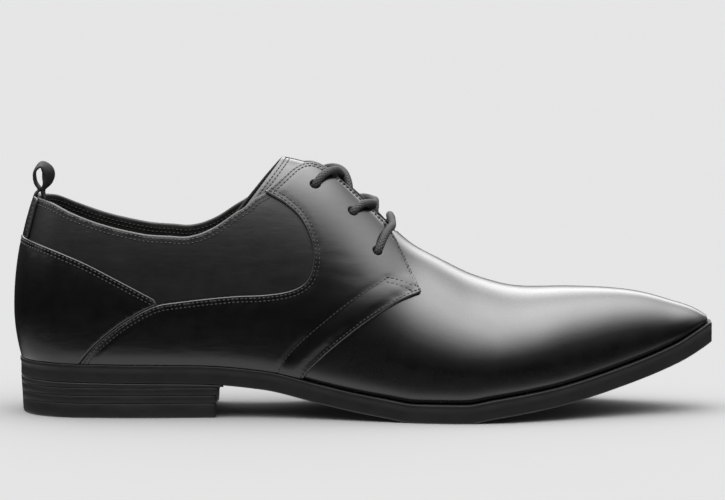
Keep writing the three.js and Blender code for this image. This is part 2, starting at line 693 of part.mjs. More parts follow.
// The back strap and pull loop, one ribbon: up the back seam, round a loop and down inside.
const STRAP_STEPS = 5;
function ribbonPath() {
  const collar = soleTop(0) + BACK_HEIGHT;
  const rise = INSTEP_RISE * along(RIDGE_LINE, "rise", HEEL_CENTRE / SHOE_LENGTH);
  const bottom = soleTop(HEEL_CENTRE) + GAP + COUNTER_SEAM[0].up * rise;
  const outside = -1.4 * GAP - STRAP_THICKNESS / 2;
  const inside = UPPER_WALL + 2 * GAP + STRAP_THICKNESS / 2;
  const seam = backSeam(collar);
  const middle = seam + UPPER_WALL;
  const half = LOOP_WIDTH / 2;
  const neck = STRAP_THICKNESS / 2 + GAP / 2;
  const climb = Array.from({ length: STRAP_STEPS + 1 }, (_, i) => {
    const z = bottom + ((collar - 1 - bottom) * i) / STRAP_STEPS;
    return [backSeam(z) + outside, z];
  });
  const loop = smoothLine(
    [
      climb.at(-1),
      [seam + outside + 0.2, collar + 1],
      [seam + 0.5, collar + 2.7],
      [middle - neck - 1, collar + 3.6],
      [middle - neck, collar + 4.8],
      [middle - half * 0.9, collar + 0.55 * LOOP_HEIGHT],
      [middle - half * 0.8, collar + 0.82 * LOOP_HEIGHT],
      [middle + half * 0.1, collar + LOOP_HEIGHT],
      [middle + half, collar + 0.8 * LOOP_HEIGHT],
      [middle + half * 0.95, collar + 0.52 * LOOP_HEIGHT],
      [middle + neck, collar + 4.4],
      [middle + neck * 0.7, collar + 2.6],
      [seam + inside, collar - 1],
    ],
    22,
  ).slice(1);
  const tail = [5, 9].map((drop) => [backSeam(collar - drop) + inside, collar - drop]);
  return [...climb, ...loop, ...tail];
}
function pullLoop() {
  const path = ribbonPath();
  const collar = soleTop(0) + BACK_HEIGHT;
  const low = soleTop(HEEL_CENTRE) + GAP;
  const rise = INSTEP_RISE * along(RIDGE_LINE, "rise", HEEL_CENTRE / SHOE_LENGTH);
  const spread = [-1, 0, 1];
  const rings = path.map(([x, z], i) => {
    const [x0, z0] = path[Math.max(i - 1, 0)];
    const [x1, z1] = path[Math.min(i + 1, path.length - 1)];
    const length = Math.hypot(x1 - x0, z1 - z0);
    const [nx, nz] = [-(z1 - z0) / length, (x1 - x0) / length];
    const level = Math.min(z, collar);
    const half = Math.abs(sectionPoint(HEEL_CENTRE, qAtHeight(HEEL_CENTRE, (level - low) / rise, 1)).y);
    const depth = HEEL_CENTRE - backSeam(level);
    const straightened = 1 - 0.7 * THREE.MathUtils.smoothstep(z, collar, collar + LOOP_HEIGHT);
    const skin = (sign) =>
      spread.map((t) => {
        const y = (t * STRAP_WIDTH) / 2;
        const bend = depth * (1 - (1 - (Math.abs(y) / half) ** HEEL_POWER) ** (1 / HEEL_POWER));
        const thick = (sign * STRAP_THICKNESS) / 2;
        return new THREE.Vector3(x + nx * thick + bend * straightened, y, z + nz * thick);
      });
    return [...skin(1), ...skin(-1).reverse()];
  });
  return solidOf(loftRings(rings, true, true));
}

// A round cord along a few points.
const CORD_SIDES = 8;
function cord(points, steps) {
  const section = Array.from({ length: CORD_SIDES }, (_, i) => {
    const angle = (2 * Math.PI * i) / CORD_SIDES;
    return new THREE.Vector2((Math.cos(angle) * LACE_DIAMETER) / 2, (Math.sin(angle) * LACE_DIAMETER) / 2);
  });
  const extrudePath = new THREE.CatmullRomCurve3(points, false, "centripetal");
  return solidOf(new THREE.ExtrudeGeometry(new THREE.Shape(section), { steps, extrudePath, bevelEnabled: false }));
}

// A lace from one eyelet over its facing's edge to the middle, and on down at the other facing.
const LACE_STEPS = 9;
const LACE_FORWARD = 7.5; // how far a strand runs towards the toe before it leaves its facing
const LACE_REST = LACE_DIAMETER / 2 + GAP;
function overFacing(row, side, forward) {
  const place = (share) => {
    const x = row.x * SHOE_LENGTH + share * forward;
    const eyeletQ = qAtHeight(row.x * SHOE_LENGTH, row.up, side);
    const edgeQ = qAtWidth(x, FACING_GAP / 2 + QUARTER_FLARE * along(FACING_EDGE, "flare", x / SHOE_LENGTH), side);
    const q = eyeletQ + (edgeQ - eyeletQ) * share;
    const lift = GAP + OVERLAY_WALL + LACE_REST + share * LACE_ARCH;
    return formPoint(x - HEEL_CENTRE, q, lift).point;
  };
  return [0, 0.35, 0.7, 1].map(place);
}
function laceCrossing(upperRow, lowerRow) {
  const strands = [-1, 1].map((side) => {
    const start = overFacing(upperRow, side, LACE_FORWARD);
    const middleX = start.at(-1).x * 0.45 + lowerRow.x * SHOE_LENGTH * 0.55 - 2;
    const ridge = (x) => sectionPoint(x, 0);
    const high = formPoint(middleX - HEEL_CENTRE, 0, LACE_REST + LACE_ARCH).point;
    const farX = lowerRow.x * SHOE_LENGTH - 1;
    const far = -side * (FACING_GAP / 2 - LACE_REST - 0.6);
    const farQ = qAtWidth(farX, Math.abs(far), -side);
    const end = formPoint(farX - HEEL_CENTRE, farQ, LACE_REST - UPPER_WALL + 0.5).point;
    end.y = ridge(farX).y + far;
    return cord([...start, high, end], LACE_STEPS);
  });
  return strands[0].add(strands[1]);
}
function laceBar(row) {
  const ends = [-1, 1].map((side) => overFacing(row, side, (2 / 3) * LACE_FORWARD));
  const [lateral, medial] = [ends[0], ends[1].reverse()];
  const x = lateral.at(-1).x - 4;
  const middle = formPoint(x - HEEL_CENTRE, 0, LACE_REST + OVERLAY_WALL).point;
  return cord([...lateral, middle, ...medial], 2 * LACE_STEPS);
}

// Finishes: polished black calf, matt rubber and waxed cotton.
const leather = new THREE.MeshStandardMaterial({ color: 0x141416, roughness: 0.28, metalness: 0 });
const quarterLeather = new THREE.MeshStandardMaterial({ color: 0x161618, roughness: 0.3, metalness: 0 });
const lining = new THREE.MeshStandardMaterial({ color: 0x1c1b1b, roughness: 0.6, metalness: 0 });
const rubber = new THREE.MeshStandardMaterial({ color: 0x1f1f1f, roughness: 0.65, metalness: 0 });
const cotton = new THREE.MeshStandardMaterial({ color: 0x2a292b, roughness: 0.7, metalness: 0 });

const shoe = new THREE.Group();
function addPiece(name, solid, material) {
  const mesh = new THREE.Mesh(geometryOf(solid), material);
  mesh.name = name;
  shoe.add(mesh);
}
addPiece("outsole", outsole(), rubber);
addPiece("heel", heel(), rubber);
addPiece("insole", insole(), lining);
addPiece("upper", upper(), leather);
addPiece("quarter_lateral", quarter(-1), quarterLeather);
addPiece("quarter_medial", quarter(1), quarterLeather);
addPiece("counter", counter(), quarterLeather);
addPiece("tongue", tongue(), leather);
addPiece("pull_loop", pullLoop(), quarterLeather);
addPiece("lace_crossing_top", laceCrossing(EYELETS[0], EYELETS[1]), cotton);
addPiece("lace_crossing_low", laceCrossing(EYELETS[1], EYELETS[2]), cotton);
addPiece("lace_bar", laceBar(EYELETS[2]), cotton);

// The origin goes to the middle of the heel's base.
shoe.position.x = -(SOLE_BACK + HEEL_LENGTH) / 2;

export default shoe;
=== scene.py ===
# %% [markdown]
# # A black leather derby dress shoe
#
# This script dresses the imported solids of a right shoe. The upper, its overlays, the tongue and the
# sole are made again as fine surfaces from the same shape that the solids follow, and then get what
# the solids leave out: rolled edges, stitches, lining, laces through their holes, and the finishes.

import math

import bmesh
import bpy
import numpy as np
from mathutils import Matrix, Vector


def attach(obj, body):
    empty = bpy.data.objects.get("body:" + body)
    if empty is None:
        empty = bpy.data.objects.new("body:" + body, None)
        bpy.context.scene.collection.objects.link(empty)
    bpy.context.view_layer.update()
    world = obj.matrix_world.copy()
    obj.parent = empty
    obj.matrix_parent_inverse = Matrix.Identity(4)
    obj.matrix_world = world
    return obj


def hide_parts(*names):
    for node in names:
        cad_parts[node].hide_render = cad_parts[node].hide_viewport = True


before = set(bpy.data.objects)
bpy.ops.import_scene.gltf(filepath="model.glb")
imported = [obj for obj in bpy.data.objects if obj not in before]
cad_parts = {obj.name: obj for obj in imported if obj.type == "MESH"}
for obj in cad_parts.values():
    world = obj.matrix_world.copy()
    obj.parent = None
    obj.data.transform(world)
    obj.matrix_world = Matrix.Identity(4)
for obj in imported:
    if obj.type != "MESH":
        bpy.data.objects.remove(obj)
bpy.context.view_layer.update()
print("nodes:", sorted(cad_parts))

# %% [markdown]
# A shoe is built round a last, a wooden foot with a few main sizes. Shoemakers measure in
# millimetres, so the shape is worked out in millimetres and turned into metres only when a mesh is
# made. Each table has a row of places along the shoe and the values there, as shares of a main size.

# %% Main sizes and tables
SHOE_LENGTH = 305.0
BALL_WIDTH = 102.5
HEEL_HEIGHT = 15.9
HEEL_LENGTH = 90.0
SOLE_THICKNESS = 8.0
TOE_SPRING = 30.0
INSTEP_RISE = 95.0
BACK_HEIGHT = 70.0
HEEL_CENTRE = 35.0
HEEL_BULGE = 22.0
COLLAR_LEAN = 8.5
HEEL_TUCK = 3.2
SOLE_BACK = 2.6
UPPER_WALL = 2.0
OVERLAY_WALL = 1.2
TONGUE_WALL = 2.2
INSOLE_THICKNESS = 2.5
GAP = 0.3
MM = 0.001
TOE_EDGE = 2.5
FEATHER_TUCK = 1.6
FACING_GAP = 17.0
QUARTER_FLARE = 27.5
THROAT_END = 167.0
THROAT_BACK = 90.0
LACE_DIAMETER = 3.4
ORIGIN_X = (SOLE_BACK + HEEL_LENGTH) / 2

SOLE_OUTLINE = {
    "x": [0.115, 0.18, 0.295, 0.36, 0.44, 0.54, 0.6, 0.64, 0.69, 0.75, 0.82, 0.89, 0.94, 0.972, 0.991, 1],
    "lateral": [
        0.307, 0.316, 0.302, 0.31, 0.36, 0.442, 0.484, 0.495,
        0.483, 0.425, 0.328, 0.225, 0.156, 0.111, 0.07, 0.034,
    ],
    "medial": [
        0.307, 0.306, 0.262, 0.256, 0.31, 0.425, 0.482, 0.503,
        0.507, 0.467, 0.388, 0.292, 0.225, 0.179, 0.136, 0.096,
    ],
}
SOLE_LINE = {
    "x": [0, 0.12, 0.27, 0.354, 0.44, 0.482, 0.525, 0.575, 0.645, 0.69, 0.777, 0.862, 0.95, 1],
    "heel": [1, 0.96, 0.92, 0.786, 0.43, 0.265, 0.13, 0, 0, 0, 0, 0, 0, 0],
    "toe": [0, 0, 0, 0, 0, 0, 0, 0, 0, 0.07, 0.205, 0.42, 0.73, 1],
}
RIDGE_LINE = {
    "x": [
        0.1, 0.26, 0.387, 0.42, 0.44, 0.46, 0.482, 0.538, 0.567, 0.61,
        0.668, 0.697, 0.725, 0.78, 0.839, 0.897, 0.954, 0.975, 0.9918,
    ],
    "rise": [
        1.1, 1.07, 0.99, 0.992, 0.98, 0.945, 0.892, 0.753, 0.679, 0.606,
        0.509, 0.464, 0.437, 0.409, 0.359, 0.283, 0.158, 0.1, 0.035,
    ],
}
SECTION_FORM = {
    "x": [0.1, 0.3, 0.39, 0.47, 0.58, 0.7, 0.8, 1],
    "square": [1.95, 1.9, 2.1, 2.1, 1.95, 2.05, 2.25, 2.3],
    "widest": [0.2, 0.2, 0.2, 0.21, 0.23, 0.23, 0.21, 0.2],
    "lateral_edge": [0.002, 0.004, 0.008, 0.012, 0.02, 0.022, 0.022, 0.016],
    "medial_edge": [0.002, -0.012, -0.008, -0.004, 0.016, 0.022, 0.022, 0.016],
    "ridge": [0, 0.004, 0.01, 0.018, 0.026, 0.03, 0.03, 0.03],
}
COLLAR_LINE = {
    "x": [
        -0.05, 0.03, 0.052, 0.085, 0.125, 0.163, 0.2, 0.239, 0.264,
        0.289, 0.315, 0.341, 0.362, 0.387, 0.405, 0.418, 0.44,
    ],
    "back": [1.01, 1.008, 0.995, 0.938, 0.877, 0.836, 0.809, 0.8, 0.61, 0.43, 0.24, 0, 0, 0, 0, 0, 0],
    "instep": [0, 0, 0, 0, 0, 0, 0, 0, 0.15, 0.319, 0.521, 0.765, 0.815, 0.895, 0.962, 1.03, 1.2],
}
PANEL_SEAM = {
    "x": [
        0.335, 0.364, 0.389, 0.412, 0.427, 0.43, 0.422, 0.4,
        0.363, 0.312, 0.239, 0.203, 0.163, 0.124, 0.1, 0.09,
    ],
    "up": [
        0.835, 0.803, 0.778, 0.728, 0.64, 0.555, 0.465, 0.4,
        0.352, 0.314, 0.271, 0.248, 0.182, 0.089, 0.01, -0.06,
    ],
}
COUNTER_SEAM = {"x": [-0.06, 0.015, 0.087, 0.16, 0.235], "up": [0.533, 0.511, 0.445, 0.345, 0.232]}
VAMP_SEAM = {
    "x": [0.405, 0.419, 0.44, 0.47, 0.506, 0.549, 0.586, 0.6],
    "up": [-0.08, 0.024, 0.117, 0.239, 0.399, 0.607, 0.762, 0.8],
}
FACING_EDGE = {
    "x": [0.3, 0.49, 0.515, 0.53, 0.543, 0.552, 0.564, 0.574, 0.583, 0.6],
    "flare": [0, 0, 0.05, 0.12, 0.28, 0.45, 0.67, 0.85, 1, 1.2],
}
EYELETS = {"x": [0.431, 0.483, 0.519], "up": [0.897, 0.895, 0.804]}
print("a shoe", SHOE_LENGTH, "mm long and", BALL_WIDTH, "mm wide")


# %% [markdown]
# A table becomes a smooth curve that never overshoots its rows, because a last has no waves between
# the places where it was measured. The leather bridges small changes of bend, so the curves that
# shape it are blended over a few millimetres. Otherwise its polish would show each row as a band.

# %% Smooth curves through the tables
FINE_SHARES = np.linspace(-0.15, 1.15, 5201)
LEATHER_BLEND = 0.012
FINE_CURVES = {}


def through_rows(table, column, share):
    """The smooth curve through a table's rows, straight on beyond its ends."""
    xs, ys = np.array(table["x"], float), np.array(table[column], float)
    width = np.diff(xs)
    slope = np.diff(ys) / width
    before, after = slope[:-1], slope[1:]
    w1, w2 = 2 * width[1:] + width[:-1], width[1:] + 2 * width[:-1]
    same_way = before * after > 0
    safe = np.where(same_way, before, 1), np.where(same_way, after, 1)
    inner = np.where(same_way, (w1 + w2) / (w1 / safe[0] + w2 / safe[1]), 0)
    tangent = np.concatenate([[slope[0]], inner, [slope[-1]]])
    within = np.clip(share, xs[0], xs[-1])
    i = np.clip(np.searchsorted(xs, within, side="right") - 1, 0, len(width) - 1)
    t = (within - xs[i]) / width[i]
    rise = t * t * (3 - 2 * t)
    bend = tangent[i] * t * (1 - t) ** 2 - tangent[i + 1] * t * t * (1 - t)
    beyond = np.where(share < xs[0], tangent[0], tangent[-1]) * (share - within)
    return ys[i] * (1 - rise) + ys[i + 1] * rise + width[i] * bend + beyond


def along(table, column, share, blended=False):
    """A table's value at places along the shoe, held at its first and last rows. Blended, its bends
    are evened out as leather does."""
    key = (id(table), column, blended)
    if key not in FINE_CURVES:
        curve = through_rows(table, column, FINE_SHARES)
        if blended:
            step = FINE_SHARES[1] - FINE_SHARES[0]
            reach = int(3 * LEATHER_BLEND / step)
            weight = np.exp(-0.5 * (np.arange(-reach, reach + 1) * step / LEATHER_BLEND) ** 2)
            padded = np.pad(curve, reach, mode="reflect", reflect_type="odd")
            curve = np.convolve(padded, weight / weight.sum(), mode="valid")
        FINE_CURVES[key] = curve
    held = np.clip(share, table["x"][0], table["x"][-1])
    return np.interp(held, FINE_SHARES, FINE_CURVES[key])


def smoothstep(x, low, high):
    t = np.clip((x - low) / (high - low), 0, 1)
    return t * t * (3 - 2 * t)


def sole_bottom(x, blended=False):
    share = x / SHOE_LENGTH
    heel, toe = along(SOLE_LINE, "heel", share, blended), along(SOLE_LINE, "toe", share, blended)
    return HEEL_HEIGHT * heel + TOE_SPRING * toe


def sole_top(x, blended=False):
    slope = (sole_bottom(x + 1, blended) - sole_bottom(x - 1, blended)) / 2
    return sole_bottom(x, blended) + SOLE_THICKNESS * np.hypot(1, slope)


def sole_half_width(x, side):
    share = x / SHOE_LENGTH
    lateral, medial = along(SOLE_OUTLINE, "lateral", share), along(SOLE_OUTLINE, "medial", share)
    return BALL_WIDTH * np.where(side < 0, lateral, medial)


print("sole top at the back and at the toe:", float(sole_top(0.0)), float(sole_top(300.0)))

# %% [markdown]
# The last itself is one function of two numbers. The first runs from the back seam (minus 90
# degrees) round the heel to 0 and then forward in millimetres. The second runs from the sole's
# outer edge (minus 1) over the ridge (0) to the inner edge (1). The toe's end is closed by a small
# quarter turn.

# %% The last
HEEL_POWER = 2.2
SIDE_SHARE = 0.28
BACK_SEAM = -90.0
TOE_START = 0.9918 * SHOE_LENGTH - HEEL_CENTRE
TOE_CAP = 3.0
TOE_DEPTH = 0.9
TOE_FLAT = 0.25
FEATHER_SHARE = 0.65
STEP_ALONG, STEP_ACROSS = 0.4, 0.004


def superellipse(angle, power):
    return (np.abs(np.cos(angle)) ** power + np.abs(np.sin(angle)) ** power) ** (-1 / power)


def back_seam(z):
    middle = sole_top(0.0) + HEEL_BULGE
    above = sole_top(0.0) + BACK_HEIGHT - middle
    lean = np.where(z > middle, COLLAR_LEAN / above**2, HEEL_TUCK / HEEL_BULGE**2)
    return GAP + OVERLAY_WALL + lean * (z - middle) ** 2


def ridge_rise(x):
    return INSTEP_RISE * along(RIDGE_LINE, "rise", x / SHOE_LENGTH, True)


def section_point(x, q):
    x, q = np.broadcast_arrays(np.asarray(x, float), np.asarray(q, float))
    share, side, p = x / SHOE_LENGTH, np.where(q < 0, -1.0, 1.0), np.abs(q)
    square, height, lateral, medial, middle = (
        along(SECTION_FORM, column, share, True)
        for column in ("square", "widest", "lateral_edge", "medial_edge", "ridge")
    )
    low = sole_top(x, True) + GAP
    rise = ridge_rise(x)
    widest = low + height * rise
    ridge = BALL_WIDTH * middle
    edge = BALL_WIDTH * np.where(side < 0, lateral, medial)
    reach = x + TOE_EDGE * smoothstep(share, 0.7, 0.99)
    half = sole_half_width(reach, side) - edge - side * ridge
    t = np.clip((p - 1 + SIDE_SHARE) / SIDE_SHARE, 0, 1)
    tuck = np.minimum(FEATHER_TUCK, half / 3) * ((1 - FEATHER_SHARE) * t**2 + FEATHER_SHARE * t**8)
    angle = (math.pi / 2) * (1 - np.clip(p / (1 - SIDE_SHARE), 0, 1))
    radius = superellipse(angle, square)
    below = p > 1 - SIDE_SHARE
    y = np.where(below, ridge + side * (half - tuck), ridge + side * half * radius * np.cos(angle))
    flank_z = widest + (low - widest) * t
    top_z = widest + (low + rise - widest) * radius * np.sin(angle)
    z = np.where(below, flank_z, top_z)
    return np.stack([x, y, z], -1)


def last_point(s, q):
    s, q = np.broadcast_arrays(np.asarray(s, float), np.asarray(q, float))
    body = section_point(HEEL_CENTRE + np.clip(s, 0, TOE_START), q)
    angle = np.radians(np.clip(-s, 0, 90))
    radius = superellipse(angle, HEEL_POWER)
    depth = HEEL_CENTRE - back_seam(body[..., 2])
    round_x = HEEL_CENTRE - depth * radius * np.sin(angle)
    round_heel = np.stack([round_x, body[..., 1] * radius * np.cos(angle), body[..., 2]], -1)
    turn = (math.pi / 2) * np.clip((s - TOE_START) / TOE_CAP, 0, 1)
    base = section_point(HEEL_CENTRE + TOE_START, np.zeros_like(s))
    floor = sole_top(HEEL_CENTRE + TOE_START) + GAP
    toe_end = np.stack(
        [
            body[..., 0] + TOE_DEPTH * np.sin(turn),
            base[..., 1] + (body[..., 1] - base[..., 1]) * (TOE_FLAT + (1 - TOE_FLAT) * np.cos(turn)),
            floor + (body[..., 2] - floor) * np.cos(turn),
        ],
        -1,
    )
    point = np.where((s < 0)[..., None], round_heel, body)
    return np.where((s > TOE_START)[..., None], toe_end, point)


def form_point(s, q, offset):
    """A point at a distance off the last, and the outward direction there."""
    s, q = np.broadcast_arrays(np.asarray(s, float), np.asarray(q, float))
    ahead = np.minimum(s + STEP_ALONG, TOE_START)
    behind = np.minimum(np.maximum(s - STEP_ALONG, BACK_SEAM), TOE_START - STEP_ALONG)
    here = np.minimum(s, TOE_START)
    outer_q, inner_q = np.maximum(q - STEP_ACROSS, -1), np.minimum(q + STEP_ACROSS, 1)
    across = last_point(here, inner_q) - last_point(here, outer_q)
    normal = np.cross(last_point(ahead, q) - last_point(behind, q), across)
    normal /= np.maximum(np.linalg.norm(normal, axis=-1, keepdims=True), 1e-9)
    point = last_point(s, q) + normal * np.asarray(offset)[..., None]
    point[..., 1] = np.where(s <= BACK_SEAM, 0, point[..., 1])
    point[..., 2] = np.maximum(point[..., 2], sole_top(point[..., 0]) + GAP)
    return point, normal


print("toe of the last:", last_point(TOE_START, 0.0).round(1))


# %% [markdown]
# Seams are drawn as a shoemaker marks them, on the side of the last. To lay a seam on the surface,
# each point of the side view is looked up on the last: its height gives the second number and, round
# the heel, its place gives the angle.

# %% Seams on the last
def spline(points, steps):
    """A Catmull-Rom curve through a few points."""
    p = np.array(points, float)
    p = np.vstack([2 * p[0] - p[1], p, 2 * p[-1] - p[-2]])
    t = np.linspace(0, len(p) - 3 - 1e-9, steps + 1)
    i = t.astype(int)
    f = (t - i)[:, None]
    a, b, c, d = p[i], p[i + 1], p[i + 2], p[i + 3]
    return 0.5 * (2 * b + (c - a) * f + (2 * a - 5 * b + 4 * c - d) * f**2 + (3 * b - a - 3 * c + d) * f**3)


def seam_line(table, steps=160):
    x = np.array(table["x"]) * SHOE_LENGTH
    section = np.maximum(x, HEEL_CENTRE)
    z = sole_top(section) + GAP + np.array(table["up"]) * ridge_rise(section)
    return spline(np.stack([x, z], -1), steps)


def collar_height(x):
    share = x / SHOE_LENGTH
    return (
        sole_top(x)
        + BACK_HEIGHT * along(COLLAR_LINE, "back", share)
        + INSTEP_RISE * along(COLLAR_LINE, "instep", share)
    )


def shifted(line, distance):
    """A line moved sideways, to the left of its direction."""
    way = np.gradient(line, axis=0)
    way /= np.linalg.norm(way, axis=1, keepdims=True)
    return line + distance * np.stack([-way[:, 1], way[:, 0]], -1)


def on_last(x, z, side):
    """The two numbers of the last at a point of its side view."""
    x, z = np.asarray(x, float), np.asarray(z, float)
    near, far = np.zeros_like(x), np.ones_like(x)
    for _ in range(40):
        middle = (near + far) / 2
        higher = section_point(np.maximum(x, HEEL_CENTRE), side * middle)[..., 2] > z
        near, far = np.where(higher, middle, near), np.where(higher, far, middle)
    q = side * near
    low, high = np.zeros_like(x), np.full_like(x, 90.0)
    for _ in range(40):
        middle = (low + high) / 2
        ahead = last_point(-middle, q)[..., 0] > x
        low, high = np.where(ahead, middle, low), np.where(ahead, high, middle)
    return np.where(x < HEEL_CENTRE, -low, x - HEEL_CENTRE), q


def at_width(x, distance, side):
    """The second number at which the last is a distance from its ridge, seen from above."""
    x = np.asarray(x, float)
    ridge = section_point(x, 0.0)[..., 1]
    near, far = np.zeros_like(x), np.full_like(x, 1 - SIDE_SHARE)
    for _ in range(40):
        middle = (near + far) / 2
        inside = np.abs(section_point(x, side * middle)[..., 1] - ridge) < distance
        near, far = np.where(inside, middle, near), np.where(inside, far, middle)
    return side * near


def facing_half(x):
    return FACING_GAP / 2 + QUARTER_FLARE * along(FACING_EDGE, "flare", x / SHOE_LENGTH)


panel_seam, counter_seam, vamp_seam = seam_line(PANEL_SEAM), seam_line(COUNTER_SEAM), seam_line(VAMP_SEAM)
print("panel seam:", len(panel_seam), "points, from", panel_seam[0].round(1), "to", panel_seam[-1].round(1))

# %% [markdown]
# Every leather piece is cut from the last by a distance: positive inside the piece, zero at its cut
# edge. Distances to the seams are measured in the side view, and those to the facing's edge from
# above. The smallest of them is the distance to the nearest edge.

# %% Distances to the cut edges
TOP, BELOW, PAST_TOE = 190.0, -20, 330
BEHIND, FAR_BEHIND = -30, -40
THROAT_FLOOR, FAR = 20, 50


def inside(polygon, points):
    """Signed distance from points to a closed outline, positive within it."""
    a = np.asarray(polygon, float)
    b = np.roll(a, -1, axis=0)
    p = np.asarray(points, float)
    best = np.full(len(p), 1e9)
    crossings = np.zeros(len(p), int)
    for (ax, ay), (bx, by) in zip(a, b):
        ex, ey = bx - ax, by - ay
        t = np.clip(((p[:, 0] - ax) * ex + (p[:, 1] - ay) * ey) / max(ex * ex + ey * ey, 1e-12), 0, 1)
        best = np.minimum(best, np.hypot(p[:, 0] - ax - t * ex, p[:, 1] - ay - t * ey))
        if ay != by:
            hit = ((ay > p[:, 1]) != (by > p[:, 1])) & (p[:, 0] < ex * (p[:, 1] - ay) / ey + ax)
            crossings += hit
    return np.where(crossings % 2 == 1, best, -best)


collar_x = np.linspace(-0.06, 0.44, 160) * SHOE_LENGTH
collar_line = np.stack([collar_x, collar_height(collar_x)], -1)
under_shoe = [[PAST_TOE, collar_line[-1][1]], [PAST_TOE, BELOW], [BEHIND, BELOW], [BEHIND, collar_line[0][1]]]
below_collar = np.vstack([collar_line, under_shoe])
quarter_outline = np.vstack([panel_seam, vamp_seam, [[vamp_seam[-1][0], TOP], [panel_seam[0][0], TOP]]])
meeting = COUNTER_SEAM["x"][-1] * SHOE_LENGTH
counter_front = shifted(panel_seam, -0.12)
counter_front = counter_front[counter_front[:, 0] < meeting]
counter_top = counter_seam[counter_seam[:, 0] < counter_front[0][0]]
counter_outline = np.vstack([counter_top, counter_front, [[counter_top[0][0], 0]]])


def side_view(p):
    return p[:, [0, 2]]


def round_corner(a, b, radius):
    """The smaller of two distances, with the corner between their edges rounded."""
    corner = radius - np.hypot(np.maximum(radius - a, 0), np.maximum(radius - b, 0))
    return np.where((a < radius) & (b < radius), corner, np.minimum(a, b))


def to_bottom(p):
    return p[:, 2] - sole_top(p[:, 0]) - GAP + 0.02


def to_facing(p, widen=0.0):
    ridge = section_point(p[:, 0], 0.0)[:, 1]
    return np.abs(p[:, 1] - ridge) - facing_half(p[:, 0]) - widen


def to_throat(p):
    half = FACING_GAP / 2
    centre = THROAT_END - half
    ridge = section_point(p[:, 0], 0.0)[:, 1]
    ahead = np.maximum(p[:, 0] - centre, 0)
    elsewhere = (p[:, 2] < sole_top(p[:, 0]) + THROAT_FLOOR) | (p[:, 0] < THROAT_BACK)
    return np.hypot(ahead, p[:, 1] - ridge) - half + FAR * elsewhere


EYELET_RADIUS, HOLE_REACH = 1.9, 12


def to_holes(p, side):
    best = np.full(len(p), 1e9)
    for centre, normal in eyelet_places(side):
        away = p - centre
        flat = away - np.outer(away @ normal, normal)
        reach = np.linalg.norm(flat, axis=1) - EYELET_RADIUS
        best = np.minimum(best, np.where(np.abs(away @ normal) < HOLE_REACH, reach, 1e9))
    return best


def eyelet_places(side):
    x = np.array(EYELETS["x"]) * SHOE_LENGTH
    z = sole_top(x) + GAP + np.array(EYELETS["up"]) * ridge_rise(x)
    s, q = on_last(x, z, side)
    centre, normal = form_point(s, q, np.full(len(s), GAP + OVERLAY_WALL))
    return list(zip(centre, normal))


print("first eyelet:", eyelet_places(-1)[0][0].round(1))

# %% [markdown]
# A piece starts as a flat net in the last's two numbers. The net is cut along lines of equal
# distance, so that its edge is smooth and a few extra rows of points lie beside the edge to roll it.
# Then it becomes two skins, a face and a back, which meet in the rolled edge.

# %% Cutting a sheet
ROLL_ROWS = (0.0, 0.12, 0.32, 0.62)
SNAP = 0.03


def cut_sheet(s_values, q_values, distance, rows=ROLL_ROWS, fine_places=()):
    bm = bmesh.new()
    edge = bm.verts.layers.float.new("edge")
    net = [[bm.verts.new((s, q, 0)) for q in q_values] for s in s_values]
    for i in range(len(s_values) - 1):
        for j in range(len(q_values) - 1):
            bm.faces.new((net[i][j], net[i + 1][j], net[i + 1][j + 1], net[i][j + 1]))
    for place, reach, times in fine_places:
        for _ in range(times):
            at = last_point(*np.array([v.co[:2] for v in bm.verts]).T)
            close = np.linalg.norm(at - place, axis=1) < reach
            bm.verts.index_update()
            edges = [e for e in bm.edges if close[e.verts[0].index] and close[e.verts[1].index]]
            bmesh.ops.subdivide_edges(bm, edges=edges, cuts=1, use_grid_fill=True)
    s, q = np.array([v.co[:2] for v in bm.verts]).T
    for v, d in zip(bm.verts, distance(last_point(s, q))):
        v[edge] = d
    for row in rows:
        on_row = []
        for v in bm.verts:
            if abs(v[edge] - row) < SNAP:
                v[edge] = row
                on_row.append(v)
        for e in bm.edges[:]:
            a, b = e.verts
            da, db = a[edge] - row, b[edge] - row
            if da * db < 0:
                _, v = bmesh.utils.edge_split(e, a, da / (da - db))
                v[edge] = row
                on_row.append(v)
        bmesh.ops.connect_verts(bm, verts=on_row)
    outside = [f for f in bm.faces if min(v[edge] for v in f.verts) < -1e-4]
    bmesh.ops.delete(bm, geom=outside, context="FACES")
    loose = [v for v in bm.verts if not v.link_faces]
    bmesh.ops.delete(bm, geom=loose, context="VERTS")
    bm.verts.index_update()
    place = np.array([v.co[:2] for v in bm.verts])
    d = np.array([v[edge] for v in bm.verts])
    faces = [[v.index for v in f.verts] for f in bm.faces]
    bm.free()
    return place[:, 0], place[:, 1], d, faces


def mesh_piece(name, points, faces, materials=(), face_material=None, uv=None, edge=None, recalc=False):
    """A mesh object from points in millimetres, with its place in its mesh."""
    shifted_points = (np.asarray(points) - [ORIGIN_X, 0, 0]) * MM
    mesh = bpy.data.meshes.new(name)
    mesh.from_pydata(shifted_points.tolist(), [], faces)
    if face_material is not None:
        mesh.polygons.foreach_set("material_index", face_material)
    if uv is not None:
        layer = mesh.uv_layers.new(name="UVMap")
        for loop in mesh.loops:
            layer.data[loop.index].uv = uv[loop.vertex_index]
    if edge is not None:
        mesh.attributes.new("edge", "FLOAT", "POINT").data.foreach_set("value", np.asarray(edge, float))
    for m in materials:
        mesh.materials.append(m)
    bm = bmesh.new()
    bm.from_mesh(mesh)
    bmesh.ops.remove_doubles(bm, verts=bm.verts, dist=2e-6)
    if recalc:
        bmesh.ops.recalc_face_normals(bm, faces=bm.faces)
    bm.to_mesh(mesh)
    bm.free()
    mesh.shade_smooth()
    piece = bpy.data.objects.new(name, mesh)
    bpy.context.scene.collection.objects.link(piece)
    return piece


